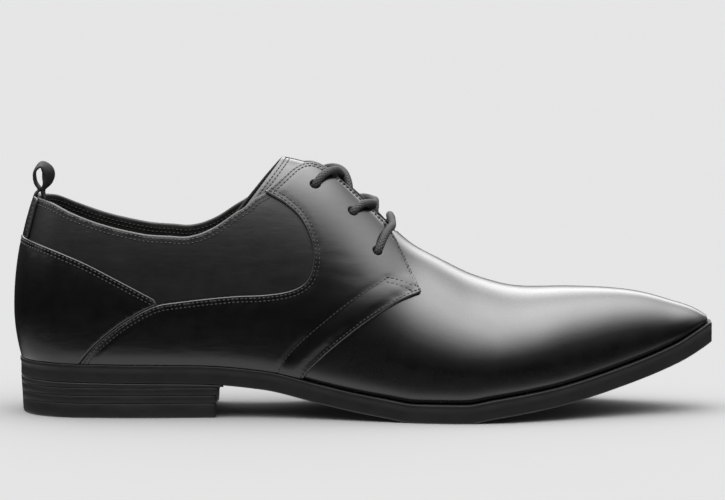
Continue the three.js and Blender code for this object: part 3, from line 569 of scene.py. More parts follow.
def leather_piece(name, sheet, low, high, roll, materials, relief=None, region=None):
    """Two skins over a cut sheet, joined in a rolled edge."""
    s, q, d, faces = sheet
    t = np.clip(d / roll, 0, 1)
    bulge = np.sqrt(1 - (1 - t) ** 2)
    middle, half = (low + high) / 2, (high - low) / 2
    lift = relief(last_point(s, q), d) if relief else 0
    face_skin, _ = form_point(s, q, middle + half * bulge + lift)
    back_skin, _ = form_point(s, q, middle - half * bulge)
    count = len(s)
    shared = d < 1e-6
    back_index = np.where(shared, np.arange(count), np.arange(count) + count)
    points = np.vstack([face_skin, back_skin])
    skins = faces + [[int(back_index[k]) for k in reversed(f)] for f in faces]
    kinds = np.zeros(len(skins), int)
    if region is not None:
        centres = np.array([face_skin[f].mean(0) for f in faces])
        kinds[: len(faces)] = region(centres)
    kinds[len(faces) :] = len(materials) - 1
    return mesh_piece(name, points, skins, materials, kinds, edge=np.tile(d, 2))


print("rows beside each cut edge:", ROLL_ROWS)

# %% [markdown]
# Polished calf is nearly black, smooth and a little waxy: a dielectric with medium roughness, under a thin
# clear coat. Its grain is far finer than the picture can show, so it mostly breaks up the
# reflections. Bump carries that grain and a soft unevenness, both on Object coordinates.

# %% Finishes
def finish(name, colour, roughness, coat=0.0, coat_roughness=0.2, specular=0.5):
    material = bpy.data.materials.new(name)
    material.use_nodes = True
    shader = material.node_tree.nodes["Principled BSDF"]
    shader.inputs["Base Color"].default_value = (*colour, 1)
    shader.inputs["Roughness"].default_value = roughness
    shader.inputs["Specular IOR Level"].default_value = specular
    shader.inputs["Coat Weight"].default_value = coat
    shader.inputs["Coat Roughness"].default_value = coat_roughness
    return material


def node(material, kind, **values):
    made = material.node_tree.nodes.new(kind)
    for key, value in values.items():
        if key in made.inputs:
            made.inputs[key].default_value = value
        else:
            setattr(made, key, value)
    return made


def join(material, source, target):
    material.node_tree.links.new(source, target)


def add_bump(material, texture_output, distance, strength=1.0):
    """Another layer of bump over those the finish has."""
    shader = material.node_tree.nodes["Principled BSDF"]
    bump = node(material, "ShaderNodeBump", Strength=strength, Distance=distance)
    join(material, texture_output, bump.inputs["Height"])
    if shader.inputs["Normal"].is_linked:
        join(material, shader.inputs["Normal"].links[0].from_socket, bump.inputs["Normal"])
    join(material, bump.outputs["Normal"], shader.inputs["Normal"])
    if shader.inputs["Coat Weight"].default_value > 0:
        join(material, bump.outputs["Normal"], shader.inputs["Coat Normal"])


def noise(material, scale, detail=3.0, stretch=(1, 1, 1)):
    place = node(material, "ShaderNodeTexCoord")
    mapping = node(material, "ShaderNodeMapping", Scale=stretch)
    join(material, place.outputs["Object"], mapping.inputs["Vector"])
    texture = node(material, "ShaderNodeTexNoise", Scale=scale, Detail=detail)
    join(material, mapping.outputs["Vector"], texture.inputs["Vector"])
    return texture.outputs["Fac"]


def vary_roughness(material, texture_output, low, high):
    shader = material.node_tree.nodes["Principled BSDF"]
    limits = {"From Min": 0.3, "From Max": 0.7, "To Min": low, "To Max": high}
    spread = node(material, "ShaderNodeMapRange", **limits)
    join(material, texture_output, spread.inputs["Value"])
    join(material, spread.outputs["Result"], shader.inputs["Roughness"])


def colours_by(material, value_output, low, high, dark, light):
    """A colour that changes from dark to light as a value goes from low to high."""
    spread = node(material, "ShaderNodeMapRange", **{"From Min": low, "From Max": high})
    join(material, value_output, spread.inputs["Value"])
    mixed = node(material, "ShaderNodeMix", data_type="RGBA")
    mixed.inputs["A"].default_value, mixed.inputs["B"].default_value = (*dark, 1), (*light, 1)
    join(material, spread.outputs["Result"], mixed.inputs["Factor"])
    return mixed


# Colour near every cut edge: partly the raw edge's own tone, partly a painted highlight along the rolled
# edge.
RAW_EDGE_AND_HIGHLIGHT = (0.022, 0.0215, 0.021)


def calf(name, colour, roughness, coat, wrinkle, soft=0.0003):
    material = finish(name, colour, roughness, coat, coat_roughness=0.13)
    darker, lighter = [0.6 * c for c in colour], [1.5 * c for c in colour]
    dye = colours_by(material, noise(material, 120, 4), 0.3, 0.7, darker, lighter)
    # Near each cut edge the colour turns a lighter grey. This is partly the raw edge's tone and partly a
    # painted highlight.
    edge = node(material, "ShaderNodeAttribute", attribute_name="edge")
    cut = colours_by(material, edge.outputs["Fac"], 0.25, 0.8, RAW_EDGE_AND_HIGHLIGHT, colour)
    join(material, dye.outputs["Result"], cut.inputs["B"])
    join(material, cut.outputs["Result"], material.node_tree.nodes["Principled BSDF"].inputs["Base Color"])
    add_bump(material, noise(material, scale=45, detail=2), distance=soft, strength=0.3)
    folds = noise(material, scale=420, detail=3, stretch=(0.28, 0.6, 1.0))
    add_bump(material, folds, distance=wrinkle, strength=0.6)
    add_bump(material, noise(material, scale=1900, detail=3), distance=0.00002, strength=0.5)
    vary_roughness(material, noise(material, 160, 5), roughness - 0.02, roughness + 0.03)
    return material


BLACK_DYE, PANEL_DYE, LINING_DYE = (0.0016, 0.0016, 0.0017), (0.003, 0.003, 0.0032), (0.010, 0.0095, 0.009)
vamp_calf = calf("vamp_calf", BLACK_DYE, roughness=0.27, coat=0.7, wrinkle=0.00002)
quarter_calf = calf("quarter_calf", BLACK_DYE, roughness=0.24, coat=0.5, wrinkle=0.00007)
panel_calf = calf("panel_calf", PANEL_DYE, roughness=0.4, coat=0.1, wrinkle=0.00013)
lining = calf("lining_leather", LINING_DYE, roughness=0.6, coat=0.0, wrinkle=0.0001)
print("finishes:", [m.name for m in (vamp_calf, quarter_calf, panel_calf, lining)])

# %% [markdown]
# The upper is the vamp and the two ankle panels in one lasted wall. Its net is about 1.4 mm fine and
# is cut along the collar, round the throat under the laces and at the eyelets.

# %% The upper
heel_places = np.linspace(BACK_SEAM, 0, 38)[:-1]
body_places = np.linspace(0, TOE_START, 190)
toe_places = TOE_START + TOE_CAP * np.array([0.25, 0.5, 0.75, 1.0])
places = np.concatenate([heel_places, body_places, toe_places])
around = np.linspace(-1, 1, 145)
HOLE_ZONE = 4.6
hole_zones = {side: [(centre, HOLE_ZONE, 2) for centre, _ in eyelet_places(side)] for side in (-1, 1)}
COLLAR_ROWS = (1.5, 3.1)
FACING_CORNER = 8.0
PANEL_FRONT, PANEL_FOOT = 134, 10


def upper_distance(p):
    d = round_corner(inside(below_collar, side_view(p)), to_throat(p), FACING_CORNER - 0.8)
    d = np.minimum(d, to_bottom(p))
    holes = np.where(p[:, 1] < section_point(p[:, 0], 0.0)[:, 1], to_holes(p, -1), to_holes(p, 1))
    return np.minimum(d, holes)


def stitch_troughs(distance, rows, depth=0.16, width=0.45):
    return -depth * sum(np.exp(-(((distance - row) / width) ** 2)) for row in rows)


CREASES = [
    # middle along the shoe, height, half length, lean, half width, depth
    (122, 66, 9, 0.10, 1.8, 0.10),
    (116, 58, 11, 0.02, 2.0, 0.09),
    (108, 72, 10, 0.16, 2.0, 0.08),
    (98, 63, 9, 0.05, 1.9, 0.07),
    (141, 70, 6, -0.16, 1.7, 0.09),
    (146, 62, 7, -0.22, 1.9, 0.10),
    (139, 56, 6, -0.08, 1.8, 0.07),
    (70, 60, 13, -0.12, 2.6, 0.08),
    (188, 52, 10, -0.75, 3.0, 0.12),
    (199, 44, 12, -0.55, 3.4, 0.10),
]


def creases(p):
    """Soft hollows where the leather has given a little, each laid in the side view."""
    depth = np.zeros(len(p))
    for x, z, reach, lean, width, deep in CREASES:
        ahead = p[:, 0] - x
        off = p[:, 2] - z - lean * ahead - 0.5 * np.sin(ahead / reach * 2.6)
        depth -= deep * np.exp(-((ahead / reach) ** 4)) * np.exp(-((off / width) ** 2))
    return depth


def upper_relief(p, d):
    collar = inside(below_collar, side_view(p))
    return stitch_troughs(collar, COLLAR_ROWS, 0.14) + creases(p)


upper_sheet = cut_sheet(places, around, upper_distance, fine_places=hole_zones[-1] + hole_zones[1])
upper = leather_piece(
    "upper_leather",
    upper_sheet,
    -UPPER_WALL,
    0.0,
    0.9,
    [vamp_calf, panel_calf, lining],
    upper_relief,
    region=lambda c: ((c[:, 0] < PANEL_FRONT) & (c[:, 2] > sole_top(c[:, 0]) + PANEL_FOOT)).astype(int),
)
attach(upper, "root")
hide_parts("upper")
print("upper:", len(upper.data.polygons), "faces")

# %% [markdown]
# The quarters and the counter are second layers of leather on the upper. Their edges are cut, rolled
# and polished, so they catch the light, and the finish also paints a lighter highlight along them. Each
# row of stitches pulls the leather down a little, which leaves the soft ribs between seam and edge.

# %% Quarters and counter
EDGE_ROWS, TACK_ROWS = (1.3, 2.7), (0.0, 2.0)
EDGE_TROUGH, TACK_TROUGH, RIB_TROUGH, RIB_WIDTH = 0.27, 0.24, 0.26, 0.7
PILLOW_HEIGHT, PILLOW_MIDDLE, PILLOW_WIDTH = 0.22, 5.4, 3.2
RIB_LINE = 11.0
TACK_LINE = [(162.8, 61.2), (167.4, 59.9), (172.6, 57.6)]
TACK_BACK, TACK_FRONT = 120, 190
tack_below = [[TACK_FRONT, 50], [TACK_FRONT, BELOW], [TACK_BACK, BELOW], [TACK_BACK, TACK_LINE[0][1]]]
tack_outline = np.vstack([TACK_LINE, tack_below])
rib_line = shifted(vamp_seam, RIB_LINE)
rib_outline = np.vstack([rib_line, [[rib_line[-1][0], TOP], [BEHIND, TOP], [BEHIND, rib_line[0][1]]]])


def quarter_distance(side):
    def distance(p):
        d = round_corner(inside(below_collar, side_view(p)), to_facing(p), FACING_CORNER)
        d = np.minimum(d, inside(quarter_outline, side_view(p)))
        d = np.minimum(np.minimum(d, to_bottom(p)), to_holes(p, side))
        return np.where(side * (p[:, 1] - section_point(p[:, 0], 0.0)[:, 1]) > 0, d, -5)

    return distance


def quarter_relief(p, d):
    cut = round_corner(inside(below_collar, side_view(p)), to_facing(p), FACING_CORNER)
    seam = inside(quarter_outline, side_view(p))
    rib = inside(rib_outline, side_view(p))
    below_tack = smoothstep(TACK_LINE[0][1] + 0.6 - p[:, 2], -1.0, 1.0)
    pillow = PILLOW_HEIGHT * np.exp(-(((rib + PILLOW_MIDDLE) / PILLOW_WIDTH) ** 2)) * below_tack
    tack = inside(tack_outline, side_view(p))
    tack_reach = smoothstep(p[:, 0], TACK_LINE[0][0] - 1, TACK_LINE[0][0] + 1)
    rows = stitch_troughs(np.minimum(cut, seam), EDGE_ROWS, EDGE_TROUGH)
    rows = rows + tack_reach * stitch_troughs(tack, TACK_ROWS, TACK_TROUGH)
    return rows + below_tack * stitch_troughs(rib, (0.0,), RIB_TROUGH, RIB_WIDTH) + pillow + creases(p)


def counter_distance(p):
    return np.minimum(inside(counter_outline, side_view(p)), to_bottom(p))


def counter_relief(p, d):
    top = inside(np.vstack([counter_seam, [[meeting, BELOW], [FAR_BEHIND, BELOW]]]), side_view(p))
    return stitch_troughs(top, EDGE_ROWS, EDGE_TROUGH)


OVERLAY_LOW, OVERLAY_ROLL = 0.03, 0.62
overlay_top = GAP + OVERLAY_WALL
overlay_layers = (OVERLAY_LOW, overlay_top, OVERLAY_ROLL, [quarter_calf, lining])
quarter_places = np.concatenate([np.linspace(-25, 0, 12)[:-1], np.linspace(0, 150, 120)])
for side, name in ((-1, "quarter_lateral"), (1, "quarter_medial")):
    half_round = np.linspace(-1, -0.02, 84) if side < 0 else np.linspace(0.02, 1, 84)
    sheet = cut_sheet(quarter_places, half_round, quarter_distance(side), fine_places=hole_zones[side])
    piece = leather_piece(name + "_leather", sheet, *overlay_layers, quarter_relief)
    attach(piece, "root")
    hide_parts(name)
    print(name, len(piece.data.polygons), "faces")

counter_places = np.concatenate([np.linspace(BACK_SEAM, 0, 50)[:-1], np.linspace(0, 40, 34)])
counter_sheet = cut_sheet(counter_places, np.linspace(-1, 1, 161), counter_distance)
counter = leather_piece("counter_leather", counter_sheet, *overlay_layers, counter_relief)
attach(counter, "root")
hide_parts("counter")
print("counter:", len(counter.data.polygons), "faces")

# %% [markdown]
# The tongue lies under the facings. Its tip stands above the collar, leans back down both sides and
# has a turned, stitched edge.

# %% The tongue
TONGUE_WIDTH = 50.0
TONGUE_REACH = 188.0
TONGUE_TIP = 117.5
TONGUE_LEAN = 0.75
TONGUE_WING = 30.0
TONGUE_FOOT, ABOVE_TIP = 10.0, 20
tip_height = section_point(TONGUE_TIP, 0.0)[2]
wing_x = TONGUE_TIP - TONGUE_LEAN * TONGUE_WING
tip_line = np.array(
    [
        [TONGUE_TIP + TONGUE_LEAN * ABOVE_TIP, tip_height + ABOVE_TIP],
        [TONGUE_TIP, tip_height],
        [wing_x, tip_height - TONGUE_WING],
        [wing_x - 6, TONGUE_FOOT],
    ]
)
tongue_outline = np.vstack([tip_line, [[TONGUE_REACH, TONGUE_FOOT], [TONGUE_REACH, TOP]]])


def tongue_distance(p):
    ridge = section_point(p[:, 0], 0.0)[:, 1]
    half = TONGUE_WIDTH / 2 * (1 - 0.2 * smoothstep(p[:, 0], wing_x, TONGUE_REACH))
    return np.minimum(inside(tongue_outline, side_view(p)), half - np.abs(p[:, 1] - ridge))


TONGUE_ROWS = (1.8, 3.3)


def tongue_relief(p, d):
    return stitch_troughs(d, TONGUE_ROWS, 0.14)


tongue_sheet = cut_sheet(np.linspace(45, 154, 90), np.linspace(-0.72, 0.72, 110), tongue_distance)
deep = UPPER_WALL + GAP
TONGUE_EASE, TONGUE_ROLL = 0.1, 1.0
tongue_layers = (-deep - TONGUE_WALL, -deep - TONGUE_EASE, TONGUE_ROLL, [quarter_calf, lining])
tongue = leather_piece("tongue_leather", tongue_sheet, *tongue_layers, tongue_relief)
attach(tongue, "root")
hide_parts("tongue")
print("tongue:", len(tongue.data.polygons), "faces")


# %% [markdown]
# The sole is a ring of side profiles joined across the shoe. Its edge has a narrow lip at the top and
# a worn lower corner. The heel's lifts are pressed together, so each joint is a fine groove.

# %% Sole and heel
RIM_LIP, RIM_STEP, EDGE_BEVEL = 1.5, 0.35, 0.9


def sole_point(s, side, inset):
    s = np.asarray(s, float)
    x = HEEL_CENTRE + np.maximum(s, 0)
    angle = np.radians(np.clip(-s, 0, 90))
    radius = superellipse(angle, HEEL_POWER)
    depth = HEEL_CENTRE - SOLE_BACK - inset
    half = np.maximum(sole_half_width(x, np.full_like(x, side)) - inset, 0.3)
    round_x = HEEL_CENTRE - depth * radius * np.sin(angle)
    return np.where(s < 0, round_x, x), side * half * np.where(s < 0, radius * np.cos(angle), 1)


def loft(rings, cap_start=False, cap_end=False):
    """Faces between rings of points, as one list of points and one of faces."""
    count = len(rings[0])
    points = np.vstack(rings)
    faces = []
    for i in range(len(rings) - 1):
        for j in range(count):
            k = (j + 1) % count
            faces.append([i * count + j, (i + 1) * count + j, (i + 1) * count + k, i * count + k])
    if cap_start:
        faces.append(list(range(count)))
    if cap_end:
        faces.append([(len(rings) - 1) * count + j for j in reversed(range(count))])
    return points, faces


def corner(inset, z, radius, start, end, steps=4):
    """Profile points of a rounded corner about a centre, in degrees."""
    turns = [math.radians(a) for a in np.linspace(start, end, steps)]
    return [(inset - radius * math.cos(a), z + radius * math.sin(a)) for a in turns]


def sole_profile(height):
    return (
        [(EDGE_BEVEL + 6, 0.0)]
        + corner(RIM_STEP + EDGE_BEVEL, EDGE_BEVEL, EDGE_BEVEL, -90, 0, 5)
        + [(RIM_STEP, height * 0.5), (RIM_STEP, height - RIM_LIP - 0.25)]
        + corner(0.25, height - RIM_LIP + 0.1, 0.25, -20, 0, 2)
        + corner(0.35, height - 0.35, 0.35, 0, 90, 5)
        + [(8.0, height)]
    )


FINE_TOE = 252
sole_places = np.concatenate(
    [
        np.linspace(BACK_SEAM, 0, 40)[:-1],
        np.linspace(0, FINE_TOE, 180),
        np.linspace(FINE_TOE, SHOE_LENGTH - HEEL_CENTRE, 34)[1:],
    ]
)
rings = []
for s in sole_places:
    edge_x, _ = sole_point(s, -1, 0.0)
    low, high = float(sole_bottom(edge_x)), float(sole_top(edge_x))
    ring = []
    for side in (-1, 1):
        reach = float(sole_half_width(max(float(edge_x), HEEL_CENTRE), np.array(side)))
        part = []
        for inset, z in sole_profile(high - low):
            x, _ = sole_point(s, side, inset)
            _, y = sole_point(s, side, min(inset, reach * 0.8))
            part.append((float(x), 0.0 if s == BACK_SEAM else float(y), low + z))
        ring += part if side < 0 else part[::-1]
    rings.append(np.array(ring))
sole_points, sole_faces = loft(rings, False, True)
rubber = finish("sole_rubber", (0.0055, 0.0055, 0.0058), 0.46, specular=0.35)
add_bump(rubber, noise(rubber, 900, 4), 0.00004, 0.6)
vary_roughness(rubber, noise(rubber, 120, 5), 0.44, 0.58)
CLEAN_RUBBER, DULL_RUBBER = (0.0042, 0.0042, 0.0044), (0.0085, 0.0085, 0.0088)
bloom = colours_by(rubber, noise(rubber, 90, 5), 0.35, 0.7, CLEAN_RUBBER, DULL_RUBBER)
join(rubber, bloom.outputs["Result"], rubber.node_tree.nodes["Principled BSDF"].inputs["Base Color"])
tread = finish("sole_tread", (0.006, 0.006, 0.0063), 0.55, specular=0.3)
ribs = node(tread, "ShaderNodeTexWave", Scale=150.0, Distortion=0.0)
ribs.bands_direction = "X"
join(tread, node(tread, "ShaderNodeTexCoord").outputs["Object"], ribs.inputs["Vector"])
add_bump(tread, ribs.outputs["Fac"], 0.0006, 0.8)
add_bump(tread, noise(tread, 900, 4), 0.00004, 0.6)
spans = np.array([np.ptp(sole_points[f][:, 1]) for f in sole_faces])
lowest = np.array(
    [sole_points[f][:, 2].max() - sole_bottom(sole_points[f][:, 0].mean()) for f in sole_faces]
)
under = ((spans > 3) & (lowest < 1.0)).astype(int)
outsole = mesh_piece("outsole_rubber", sole_points, sole_faces, [rubber, tread], under, recalc=True)
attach(outsole, "root")
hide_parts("outsole")
print("outsole:", len(outsole.data.polygons), "faces")

LIFT_HEIGHT, TOP_PIECE, LIFT_GROOVE, HEEL_TAPER = 3.4, 6.4, 0.4, 0.9
BREAST_BOW, BREAST_FLARE = 3.0, 2.6


def heel_outline(inset, flare):
    straight = np.linspace(HEEL_LENGTH - HEEL_CENTRE - inset + flare, 0, 24)
    around_back = np.linspace(0, BACK_SEAM, 40)[1:]
    s = np.concatenate([straight, around_back])
    lateral = np.stack(sole_point(s, -1, inset), -1)
    medial = np.stack(sole_point(s[:-1], 1, inset), -1)[::-1]
    lateral[-1][1] = 0
    start, end = medial[-1], lateral[0]
    t = np.linspace(0, 1, 14)[1:-1]
    breast = start + (end - start) * t[:, None] - np.stack([BREAST_BOW * 4 * t * (1 - t), 0 * t], -1)
    return np.vstack([lateral, medial, breast])


levels = [(z, EDGE_BEVEL * (1 - math.sin(math.acos(1 - z / EDGE_BEVEL)))) for z in (0.0, 0.15, 0.45, 0.9)]
LIFT_JOINTS = 3
GROOVE = ((-0.34, 0.0), (-0.2, 0.08), (-0.1, LIFT_GROOVE), (0.1, LIFT_GROOVE), (0.2, 0.08), (0.34, 0.0))
for k in range(LIFT_JOINTS):
    z = TOP_PIECE + k * LIFT_HEIGHT
    levels += [(z + up, inset) for up, inset in GROOVE]
heel_rings = []
for z, inset in levels:
    taper = RIM_STEP + HEEL_TAPER * (1 - z / HEEL_HEIGHT)
    flare = BREAST_FLARE * max(2 * z / HEEL_HEIGHT - 1, 0) ** 2
    outline = heel_outline(inset + taper, flare)
    heel_rings.append(np.column_stack([outline, np.full(len(outline), z)]))
for drop, inset in ((0.5, 0.0), (0.06, 0.12)):
    outline = heel_outline(RIM_STEP + inset, BREAST_FLARE)
    heel_rings.append(np.column_stack([outline, sole_bottom(outline[:, 0]) - drop]))
heel_points, heel_faces = loft(heel_rings, True, True)
heel_kinds = [int(len(f) > 4 and heel_points[f][:, 2].max() < 0.1) for f in heel_faces]
heel = mesh_piece("heel_rubber", heel_points, heel_faces, [rubber, tread], heel_kinds, recalc=True)
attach(heel, "root")
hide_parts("heel")
print("heel:", len(heel.data.polygons), "faces")

# %% [markdown]
# Inside lies a sock of lining leather over a thin pad. It is domed a little, and its edge turns down
# to the wall.

# %% The insole
INSOLE_BACK, INSOLE_FRONT, INSOLE_LIFT = -88, 0.93, 0.7
insole_end = INSOLE_FRONT * SHOE_LENGTH - HEEL_CENTRE
insole_places = np.concatenate([np.linspace(INSOLE_BACK, 0, 30)[:-1], np.linspace(0, insole_end, 80)])
cross = np.array([-1, -0.985, -0.95, -0.85, -0.6, -0.3, 0, 0.3, 0.6, 0.85, 0.95, 0.985, 1])
insole_rings = []
for s in insole_places:
    lateral, _ = form_point(s, -1.0, -UPPER_WALL - 2 * GAP)
    medial, _ = form_point(s, 1.0, -UPPER_WALL - 2 * GAP)
    middle, half = (lateral + medial) / 2, (medial - lateral) / 2
    top = middle + half * cross[:, None]
    out = np.abs(cross)
    dome = INSOLE_THICKNESS * (1 - out**14) ** 0.5
    crown = dome + INSOLE_LIFT * out**3 * smoothstep(1 - out, 0, 0.05)
    top[:, 2] = sole_top(top[:, 0]) + GAP + crown
    base = np.array([medial, lateral])
    base[:, 2] = sole_top(base[:, 0]) + GAP
    insole_rings.append(np.vstack([top, base]))
insole_points, insole_faces = loft(insole_rings, True, True)
no_cut_edge = np.full(len(insole_points), 5.0)
insole = mesh_piece("insole_sock", insole_points, insole_faces, [lining], edge=no_cut_edge, recalc=True)
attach(insole, "root")
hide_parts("insole")
print("insole:", len(insole.data.polygons), "faces")

# %% [markdown]
# The back seam is covered by a strip that is wide over the counter and narrow at the collar. It is cut
# and rolled as the other leathers are.

# %% The back strip
STRIP_WIDE, STRIP_NARROW, STRIP_WALL, STRIP_ROLL, STRIP_ROW = 25.0, 22.0, 1.25, 0.6, 1.6
seam_below = [[meeting, BELOW], [FAR_BEHIND, BELOW], [FAR_BEHIND, counter_seam[0][1]]]
below_counter_seam = np.vstack([counter_seam, seam_below])


def strip_half_width(z):
    up = smoothstep(z, counter_seam[0][1], sole_top(0.0) + BACK_HEIGHT)
    return (STRIP_WIDE + (STRIP_NARROW - STRIP_WIDE) * up) / 2


def strip_distance(p):
    half = strip_half_width(p[:, 2])
    d = np.minimum(half - np.abs(p[:, 1]), -inside(below_counter_seam, side_view(p)) - GAP / 2)
    d = np.minimum(d, inside(below_collar, side_view(p)) - GAP)
    return np.where(p[:, 0] < HEEL_CENTRE, d, -5)


def strip_relief(p, d):
    return stitch_troughs(d, (STRIP_ROW,), 0.14)


strip_sheet = cut_sheet(np.linspace(BACK_SEAM, -40, 34), np.linspace(-0.75, 0.75, 120), strip_distance)
strip_layers = (OVERLAY_LOW, STRIP_WALL, STRIP_ROLL, [quarter_calf, lining])
back_strip = leather_piece("back_strip", strip_sheet, *strip_layers, strip_relief)
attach(back_strip, "root")
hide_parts("pull_loop")
print("back strip:", len(back_strip.data.polygons), "faces")

# %% [markdown]
# A tape comes up out of the strip at the collar and turns over in a loop to pull the shoe on with. It
# is one ribbon that follows a path in the middle plane, and its front strand twists a little. Its
# fine weave is a bump, because one thread is thinner than a grain of sand.

# %% Pull loop
STRAP_WIDTH, STRAP_THICKNESS, LOOP_HEIGHT, LOOP_WIDTH = 9.6, 1.3, 13.6, 6.0
collar_z = float(sole_top(0.0)) + BACK_HEIGHT
outside = -STRIP_WALL + STRAP_THICKNESS / 2 - 0.1
within = UPPER_WALL + 1.6 * GAP + STRAP_THICKNESS / 2
seam_x = float(back_seam(collar_z))
loop_middle = seam_x + UPPER_WALL
half_loop = LOOP_WIDTH / 2
neck = STRAP_THICKNESS / 2 + GAP / 2
climb_z = np.linspace(collar_z - 7, collar_z - 1, 8)
climb = np.stack([back_seam(climb_z) + outside, climb_z], -1)
loop = spline(
    [
        climb[-1],
        [seam_x + outside + 0.3, collar_z + 0.8],
        [seam_x + 0.5, collar_z + 1.9],
        [loop_middle - neck, collar_z + 3.0],
        [loop_middle - half_loop * 0.85, collar_z + 0.45 * LOOP_HEIGHT],
        [loop_middle - half_loop * 0.9, collar_z + 0.78 * LOOP_HEIGHT],
        [loop_middle + half_loop * 0.05, collar_z + LOOP_HEIGHT],
        [loop_middle + half_loop, collar_z + 0.78 * LOOP_HEIGHT],
        [loop_middle + half_loop * 0.9, collar_z + 0.45 * LOOP_HEIGHT],
        [loop_middle + neck, collar_z + 2.8],
        [loop_middle + neck * 0.9, collar_z + 1.2],
        [seam_x + within, collar_z - 1],
    ],
    90,
)[1:]
tail = np.array([[float(back_seam(collar_z - drop)) + within, collar_z - drop] for drop in (5, 9)])
ribbon = np.vstack([climb, loop, tail])
way = np.gradient(ribbon, axis=0)
way /= np.linalg.norm(way, axis=1, keepdims=True)
strand = np.concatenate([[0], np.cumsum(np.linalg.norm(np.diff(ribbon, axis=0), axis=1))])
to_front = np.hypot(ribbon[:, 0] - loop_middle - half_loop, ribbon[:, 1] - collar_z - 0.66 * LOOP_HEIGHT)
twist_centre = strand[np.argmin(to_front)]
TWIST, TWIST_REACH = math.radians(30), 5.5
ribbon_rings = []
for (x, z), (wx, wz), run in zip(ribbon, way, strand):
    level = min(z, collar_z)
    _, q = on_last(np.array([HEEL_CENTRE + 0.01]), np.array([level]), 1)
    half = abs(float(section_point(HEEL_CENTRE, q[0])[1]))
    depth = HEEL_CENTRE - float(back_seam(level))
    straight = 1 - 0.7 * float(smoothstep(z, collar_z, collar_z + LOOP_HEIGHT))
    twist = TWIST * math.exp(-(((run - twist_centre) / TWIST_REACH) ** 2))
    twist_c, twist_s = math.cos(twist), math.sin(twist)
    ring = []
    for a in np.linspace(0, 2 * math.pi, 24, endpoint=False):
        c, n = math.cos(a), math.sin(a)
        y = STRAP_WIDTH / 2 * math.copysign(abs(c) ** 0.35, c)
        thick = STRAP_THICKNESS / 2 * math.copysign(abs(n) ** 0.6, n)
        y, thick = y * twist_c - thick * twist_s, y * twist_s + thick * twist_c
        bend = depth * (1 - (1 - (min(abs(y), STRAP_WIDTH / 2) / half) ** HEEL_POWER) ** (1 / HEEL_POWER))
        ring.append((x - wz * thick + bend * straight, y, z + wx * thick))
    ribbon_rings.append(np.array(ring))
ribbon_points, ribbon_faces = loft(ribbon_rings, True, True)
tape = finish("loop_tape", (0.006, 0.006, 0.0062), 0.62, specular=0.35)
add_bump(tape, noise(tape, 1500, 2, (1, 0.3, 1)), 0.0002, 0.7)
vary_roughness(tape, noise(tape, 300, 3), 0.55, 0.7)
strap = mesh_piece("loop_tape", ribbon_points, ribbon_faces, [tape], recalc=True)
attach(strap, "root")
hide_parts("pull_loop")
print("loop:", len(strap.data.polygons), "faces")

# %% [markdown]
# The lace is a round braided cord. Each strand comes up through a hole, crosses its own facing's edge and
# goes down under the other facing towards the next hole. The lowest pair is joined by a bar. The
# braid is a bump on the strand's own UV map, so it follows the cord. The same pattern also paints shade into
# the braid's hollows.

# %% Laces
LACE_REST = LACE_DIAMETER / 2 + GAP
LACE_FORWARD = 7.5
LACE_ARCH = 0.2
LACE_BELOW, LACE_INSIDE, LACE_OVER = -3.6, -1.2, 1.6
braid = finish("lace_braid", (0.022, 0.0215, 0.022), 0.62)
uv_place = node(braid, "ShaderNodeUVMap")
waves = []
for turn in (0.85, -0.85):
    tilt = node(braid, "ShaderNodeMapping", Rotation=(0, 0, turn))
    wave = node(braid, "ShaderNodeTexWave", Scale=0.3, Distortion=0.0)
    join(braid, uv_place.outputs["UV"], tilt.inputs["Vector"])
    join(braid, tilt.outputs["Vector"], wave.inputs["Vector"])
    waves.append(wave)
plait = node(braid, "ShaderNodeMath", operation="MULTIPLY")
join(braid, waves[0].outputs["Fac"], plait.inputs[0])
join(braid, waves[1].outputs["Fac"], plait.inputs[1])
add_bump(braid, plait.outputs["Value"], 0.0004, 0.9)
# Painted shade: the braid's colour follows its bump, darker in the hollows between the plaits and lighter on
# their crowns.
braid_hollow_shade = colours_by(braid, plait.outputs["Value"], 0.0, 0.8, (0.011, 0.011, 0.0112), (0.042, 0.041, 0.042))
join(braid, braid_hollow_shade.outputs["Result"], braid.node_tree.nodes["Principled BSDF"].inputs["Base Color"])


def tube(name, points, radius, material, sides=18):
    """A round cord along points, with a UV map whose units are millimetres along and round it."""
    p = np.asarray(points, float)
    way = np.gradient(p, axis=0)
    way /= np.linalg.norm(way, axis=1, keepdims=True)
    normal = np.cross(way[0], [0.3, 0.9, 0.1])
    rings, runs = [], np.concatenate([[0], np.cumsum(np.linalg.norm(np.diff(p, axis=0), axis=1))])
    angles = np.linspace(0, 2 * math.pi, sides, endpoint=False)
    for centre, direction in zip(p, way):
        normal = normal - direction * (normal @ direction)
        normal /= np.linalg.norm(normal)
        other = np.cross(direction, normal)
        rings.append(centre + radius * (np.cos(angles)[:, None] * normal + np.sin(angles)[:, None] * other))
    points3, faces = loft(rings, True, True)
    uv = [(run, abs(math.degrees(a) / 180 - 1) * math.pi * radius) for run in runs for a in angles]
    return mesh_piece(name, points3, faces, [material], uv=uv, recalc=True)


def eased(points, times=24):
    """Rounds a strand's bends as its own stiffness does, with its two ends kept."""
    p = np.asarray(points, float)
    for _ in range(times):
        p[1:-1] = (p[:-2] + 2 * p[1:-1] + p[2:]) / 4
    return p


